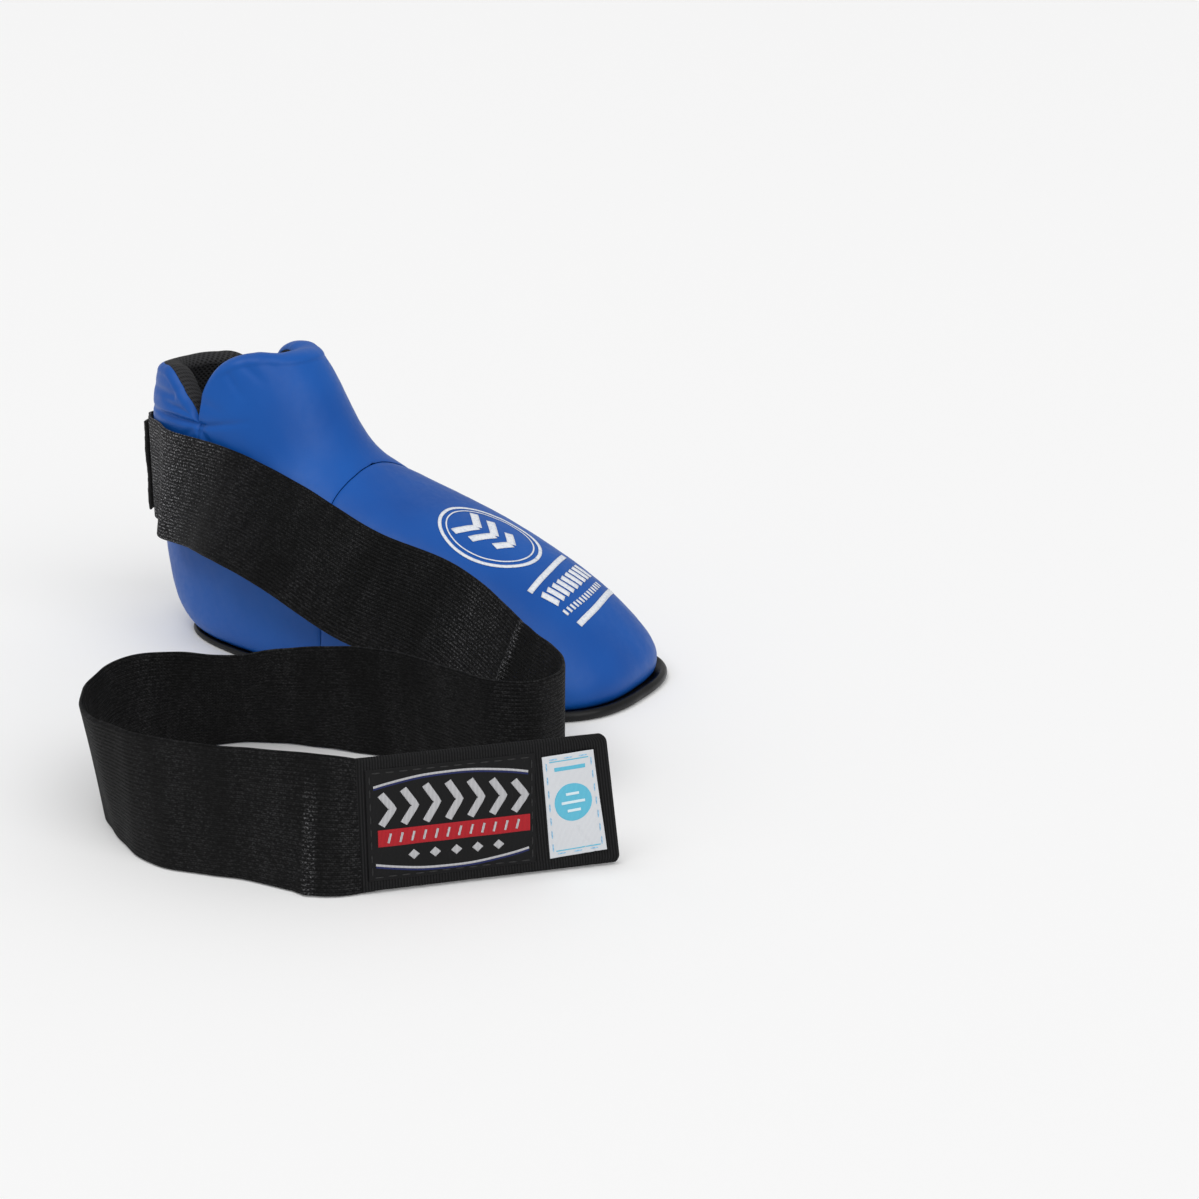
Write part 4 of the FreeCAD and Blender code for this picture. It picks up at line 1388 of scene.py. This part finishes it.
for z, half in ((28.5, 5.0), (32.0, 2.8), (25.0, 2.8)):
    bar = tag_print(line_of((disc_x - half, z), (disc_x + half, z), 9), 1.1)
    white_lines.append((bar[0] - tab_back * 0.15 * MM, bar[1], bar[2]))
for name, kind, colour, dark, grids in (
    ("tag_cyan_print", "cyan satin print", "#6CC3DC", "#58B2CE", cyan_lines),
    ("tag_white_print", "white satin print", "#E6F1F5", "#CFE3EA", white_lines),
):
    motif = make_surface(name, askew(grids), woven(kind, colour, dark), 0.003 * MM)
    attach(motif, "tab")

# ---------------------------------------------------------------------------------------------
# Stitches on the tab: a lock stitch 5 mm long round the label in black and round the tag in light
# blue, each stitch a short length of thread that dips into the cloth at its ends.
# ---------------------------------------------------------------------------------------------
stitch_length = 3.4 * MM
stitch_pitch = 5 * MM
stitch_width = 0.75 * MM
stitch_inset = 1.6 * MM
stitch_rise = 0.05 * MM  # how far a stitch's middle lies above the cloth


def stitch_places(length, height):
    """Middles of the stitches round a sewn rectangle, from its lower left corner, as (x, z, upright)."""
    inner_x, inner_z = length - 2 * stitch_inset, height - 2 * stitch_inset
    across, up = int(inner_x / stitch_pitch), int(inner_z / stitch_pitch)
    places = []
    for i in range(across):
        x = stitch_inset + inner_x * (i + 0.5) / across
        places += [(x, stitch_inset, False), (x, height - stitch_inset, False)]
    for i in range(up):
        z = stitch_inset + inner_z * (i + 0.5) / up
        places += [(stitch_inset, z, True), (length - stitch_inset, z, True)]
    return places


def stitch_grid(middle, along, out, width=stitch_width):
    """One stitch: an ellipsoid, drawn out along the seam and half sunk in the cloth."""
    side = np.cross(out, along)
    lift, turn = np.meshgrid(
        np.linspace(-np.pi / 2, np.pi / 2, 9), np.linspace(0, 2 * np.pi, 9), indexing="ij"
    )
    length = np.sign(np.sin(lift)) * np.abs(np.sin(lift)) ** 0.7 * stitch_length / 2
    thin = np.cos(lift) * width / 2
    points = middle + length[..., None] * along
    points = points + (thin * np.cos(turn))[..., None] * side + (thin * 0.8 * np.sin(turn))[..., None] * out
    return points, np.stack([length, turn * width / 2], axis=-1), True


def sewn_thread(name, hex_colour, hex_dark):
    """Bonded polyester thread: two plies twisted together, with bands 0.8 mm apart."""
    material, tree, shader = new_material(name, hex_colour, 0.55)
    where = add_node(tree, "ShaderNodeUVMap", {"uv_map": "UVMap"})
    twist = add_node(tree, "ShaderNodeTexWave",
                     {"bands_direction": "DIAGONAL", "Scale": wave_scale(0.8 * MM)},
                     {"Vector": where.outputs["UV"]})
    shade = add_node(tree, "ShaderNodeValToRGB", None, {"Fac": twist.outputs["Fac"]})
    shade.color_ramp.elements[0].color = linear(hex_dark)
    shade.color_ramp.elements[1].color = linear(hex_colour)
    tree.links.new(shade.outputs["Color"], shader.inputs["Base Color"])
    bump = add_node(tree, "ShaderNodeBump", {"Strength": 0.5, "Distance": 0.2 * MM},
                    {"Height": twist.outputs["Fac"]})
    tree.links.new(bump.outputs["Normal"], shader.inputs["Normal"])
    return material


def stitches_on_tab(left, right, low, high, face, skew, shape, width):
    """The stitches round a rectangle on the tab's front, whose top is cut back by skew. face and
    shape(x, z) give the height of the cloth they are in, and width is the thread's."""
    grids = []
    for x, z, upright in stitch_places(right - left, high - low):
        x, z = left + x, low + z
        slanted = x - skew * (x - left) / (right - left) * (z - low) / (high - low)
        middle = on_tab(slanted, face + stitch_rise + shape(x, z), z + strap_off_floor)
        grids.append(stitch_grid(middle, np.array([0, 0, 1.0]) if upright else tab_along, -tab_back, width))
    return grids


black_thread = sewn_thread("black polyester thread", "#161617", "#08080A")
blue_thread = sewn_thread("light-blue polyester thread", "#9CCDE8", "#74B0D6")
label_sewing = stitches_on_tab(
    label_left, label_right, label_low, label_high, label_face, 0.0, label_swell, 0.6 * MM
)
tag_sewing = stitches_on_tab(
    tag_left, tag_right, tag_low, tag_high, tag_face, tag_skew, tag_bend, 0.5 * MM
)
for name, thread, grids in (
    ("label_stitches", black_thread, label_sewing),
    ("tag_stitches", blue_thread, askew(tag_sewing)),
):
    sewing = make_surface(name, grids, thread, 0.003 * MM)
    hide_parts("tab_stitches")
    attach(sewing, "tab")

# ---------------------------------------------------------------------------------------------
# Hook panel: moulded nylon hook tape on the tab's back, which grips the loop panel at the heel once
# the strap has gone round the foot.
# ---------------------------------------------------------------------------------------------
hook_left, hook_right = 20 * MM, 90 * MM
hook_low, hook_high = 4 * MM, 51 * MM
hook_base, hook_face = -1.1 * MM, -3.0 * MM

# Hook tape: rows of tiny nylon hooks 1.3 mm apart, half glossy, on a woven ground
hooks, tree, shader = new_material("nylon hook tape", "#101011", 0.4)
where = add_node(tree, "ShaderNodeUVMap", {"uv_map": "UVMap"})
rows = add_node(tree, "ShaderNodeTexVoronoi",
                {"voronoi_dimensions": "2D", "Scale": 1 / (1.3 * MM), "Randomness": 0.25},
                {"Vector": where.outputs["UV"]})
tuft = add_node(tree, "ShaderNodeValToRGB", None, {"Fac": rows.outputs["Distance"]})
tuft.color_ramp.elements[0].color = linear("#2A2A2B")
tuft.color_ramp.elements[1].position = 0.6
tuft.color_ramp.elements[1].color = linear("#070708")
tree.links.new(tuft.outputs["Color"], shader.inputs["Base Color"])
bump = add_node(tree, "ShaderNodeBump", {"Strength": 1.0, "Distance": 0.6 * MM, "invert": True},
                {"Height": rows.outputs["Distance"]})
tree.links.new(bump.outputs["Normal"], shader.inputs["Normal"])
hook_grids = plate(hook_left, hook_right, hook_low + strap_off_floor, hook_high + strap_off_floor,
                   hook_base, hook_face, edge=0.5 * MM)
hook_panel = make_surface("hook_tape", [(p, uv, not flip) for p, uv, flip in hook_grids], hooks, 0.005 * MM)
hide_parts("hook_panel")
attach(hook_panel, "tab")

# ---------------------------------------------------------------------------------------------
# Heel loop panel: brushed loop tape, sewn over the strap's start behind the heel with a row of
# stitches round its border. Its near edge stands a little off the strap.
# ---------------------------------------------------------------------------------------------
PANEL_ARC = (156, 168, 180, 192, 202)  # degrees round the heel
panel_height = 48 * MM
panel_thick = 1.5 * MM
panel_edge = 0.7 * MM
panel_top = strap_top - (strap_width - panel_height) / 2
panel_clear = 0.3 * MM
panel_middle = strap_off_heel + strap_thick + panel_clear + panel_thick / 2
panel_feet, _ = heel_lines(PANEL_ARC, panel_top - panel_height, panel_top, panel_middle)
panel_knots = distances(panel_feet)
panel_length = panel_knots[-1]


def panel_at(x, z, off):
    """Points on the panel: x round the heel from its far edge, z up from its lower edge, and off its
    middle surface, which leaves the strap near the last edge."""
    x, z, off = np.broadcast_arrays(x, z, off)
    step = 0.2 * MM
    here = spline(panel_knots, panel_feet, x)
    along = spline(panel_knots, panel_feet, x + step) - spline(panel_knots, panel_feet, x - step)
    out = np.stack([along[..., 1], -along[..., 0], 0 * x], axis=-1)
    out /= np.linalg.norm(out, axis=-1)[..., None]
    lift = 1.4 * MM * smooth_step(x, panel_length - 9 * MM, panel_length)
    lift = lift + 0.25 * MM * np.sin(z / (4 * MM)) * smooth_step(x, panel_length - 14 * MM, panel_length)
    return here + [0, 0, 1] * z[..., None] + out * (off + lift)[..., None]


def panel_faces():
    """The panel's two faces: half its thickness off the middle surface, rounded at the border."""
    x, z = np.meshgrid(crowded(0, panel_length, panel_edge, 1 * MM),
                       crowded(0, panel_height, panel_edge, 1 * MM))
    half = panel_thick / 2 * rounded(x, z, panel_edge)
    uv = np.stack([x, z], axis=-1)
    return [(panel_at(x, z, half), uv, False), (panel_at(x, z, -half), uv, True)]


# Brushed loop tape: a black nylon pile of loose loops, with a soft pale sheen at its edges
pile, tree, shader = new_material("brushed loop tape", "#101011", 0.9, Sheen_Weight=0.12)
where = add_node(tree, "ShaderNodeUVMap", {"uv_map": "UVMap"})
tangle = add_node(tree, "ShaderNodeTexNoise",
                  {"Scale": 1 / (0.7 * MM), "Detail": 5.0, "Roughness": 0.75, "Distortion": 1.5},
                  {"Vector": where.outputs["UV"]})
shade = add_node(tree, "ShaderNodeValToRGB", None, {"Fac": tangle.outputs["Fac"]})
shade.color_ramp.elements[0].position, shade.color_ramp.elements[1].position = 0.35, 0.75
shade.color_ramp.elements[0].color = linear("#0B0B0C")
shade.color_ramp.elements[1].color = linear("#202021")
tree.links.new(shade.outputs["Color"], shader.inputs["Base Color"])
bump = add_node(tree, "ShaderNodeBump", {"Strength": 0.9, "Distance": 0.5 * MM},
                {"Height": tangle.outputs["Fac"]})
tree.links.new(bump.outputs["Normal"], shader.inputs["Normal"])
loop_panel = make_surface("loop_tape", panel_faces(), pile, 0.005 * MM)
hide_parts("heel_loop_panel")
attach(loop_panel, "root")

heel_sewing = []
for x, z, upright in stitch_places(panel_length, panel_height):
    middle = panel_at(x, z, panel_thick / 2 + stitch_rise)
    ahead = panel_at(x + 0.5 * MM, z, panel_thick / 2 + stitch_rise) - middle
    ahead /= np.linalg.norm(ahead)
    up = np.array([0, 0, 1.0])
    heel_sewing.append(stitch_grid(middle, up if upright else ahead, np.cross(ahead, up)))
heel_stitches = make_surface("heel_panel_stitches", heel_sewing, black_thread, 0.003 * MM)
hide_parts("heel_stitches")
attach(heel_stitches, "root")
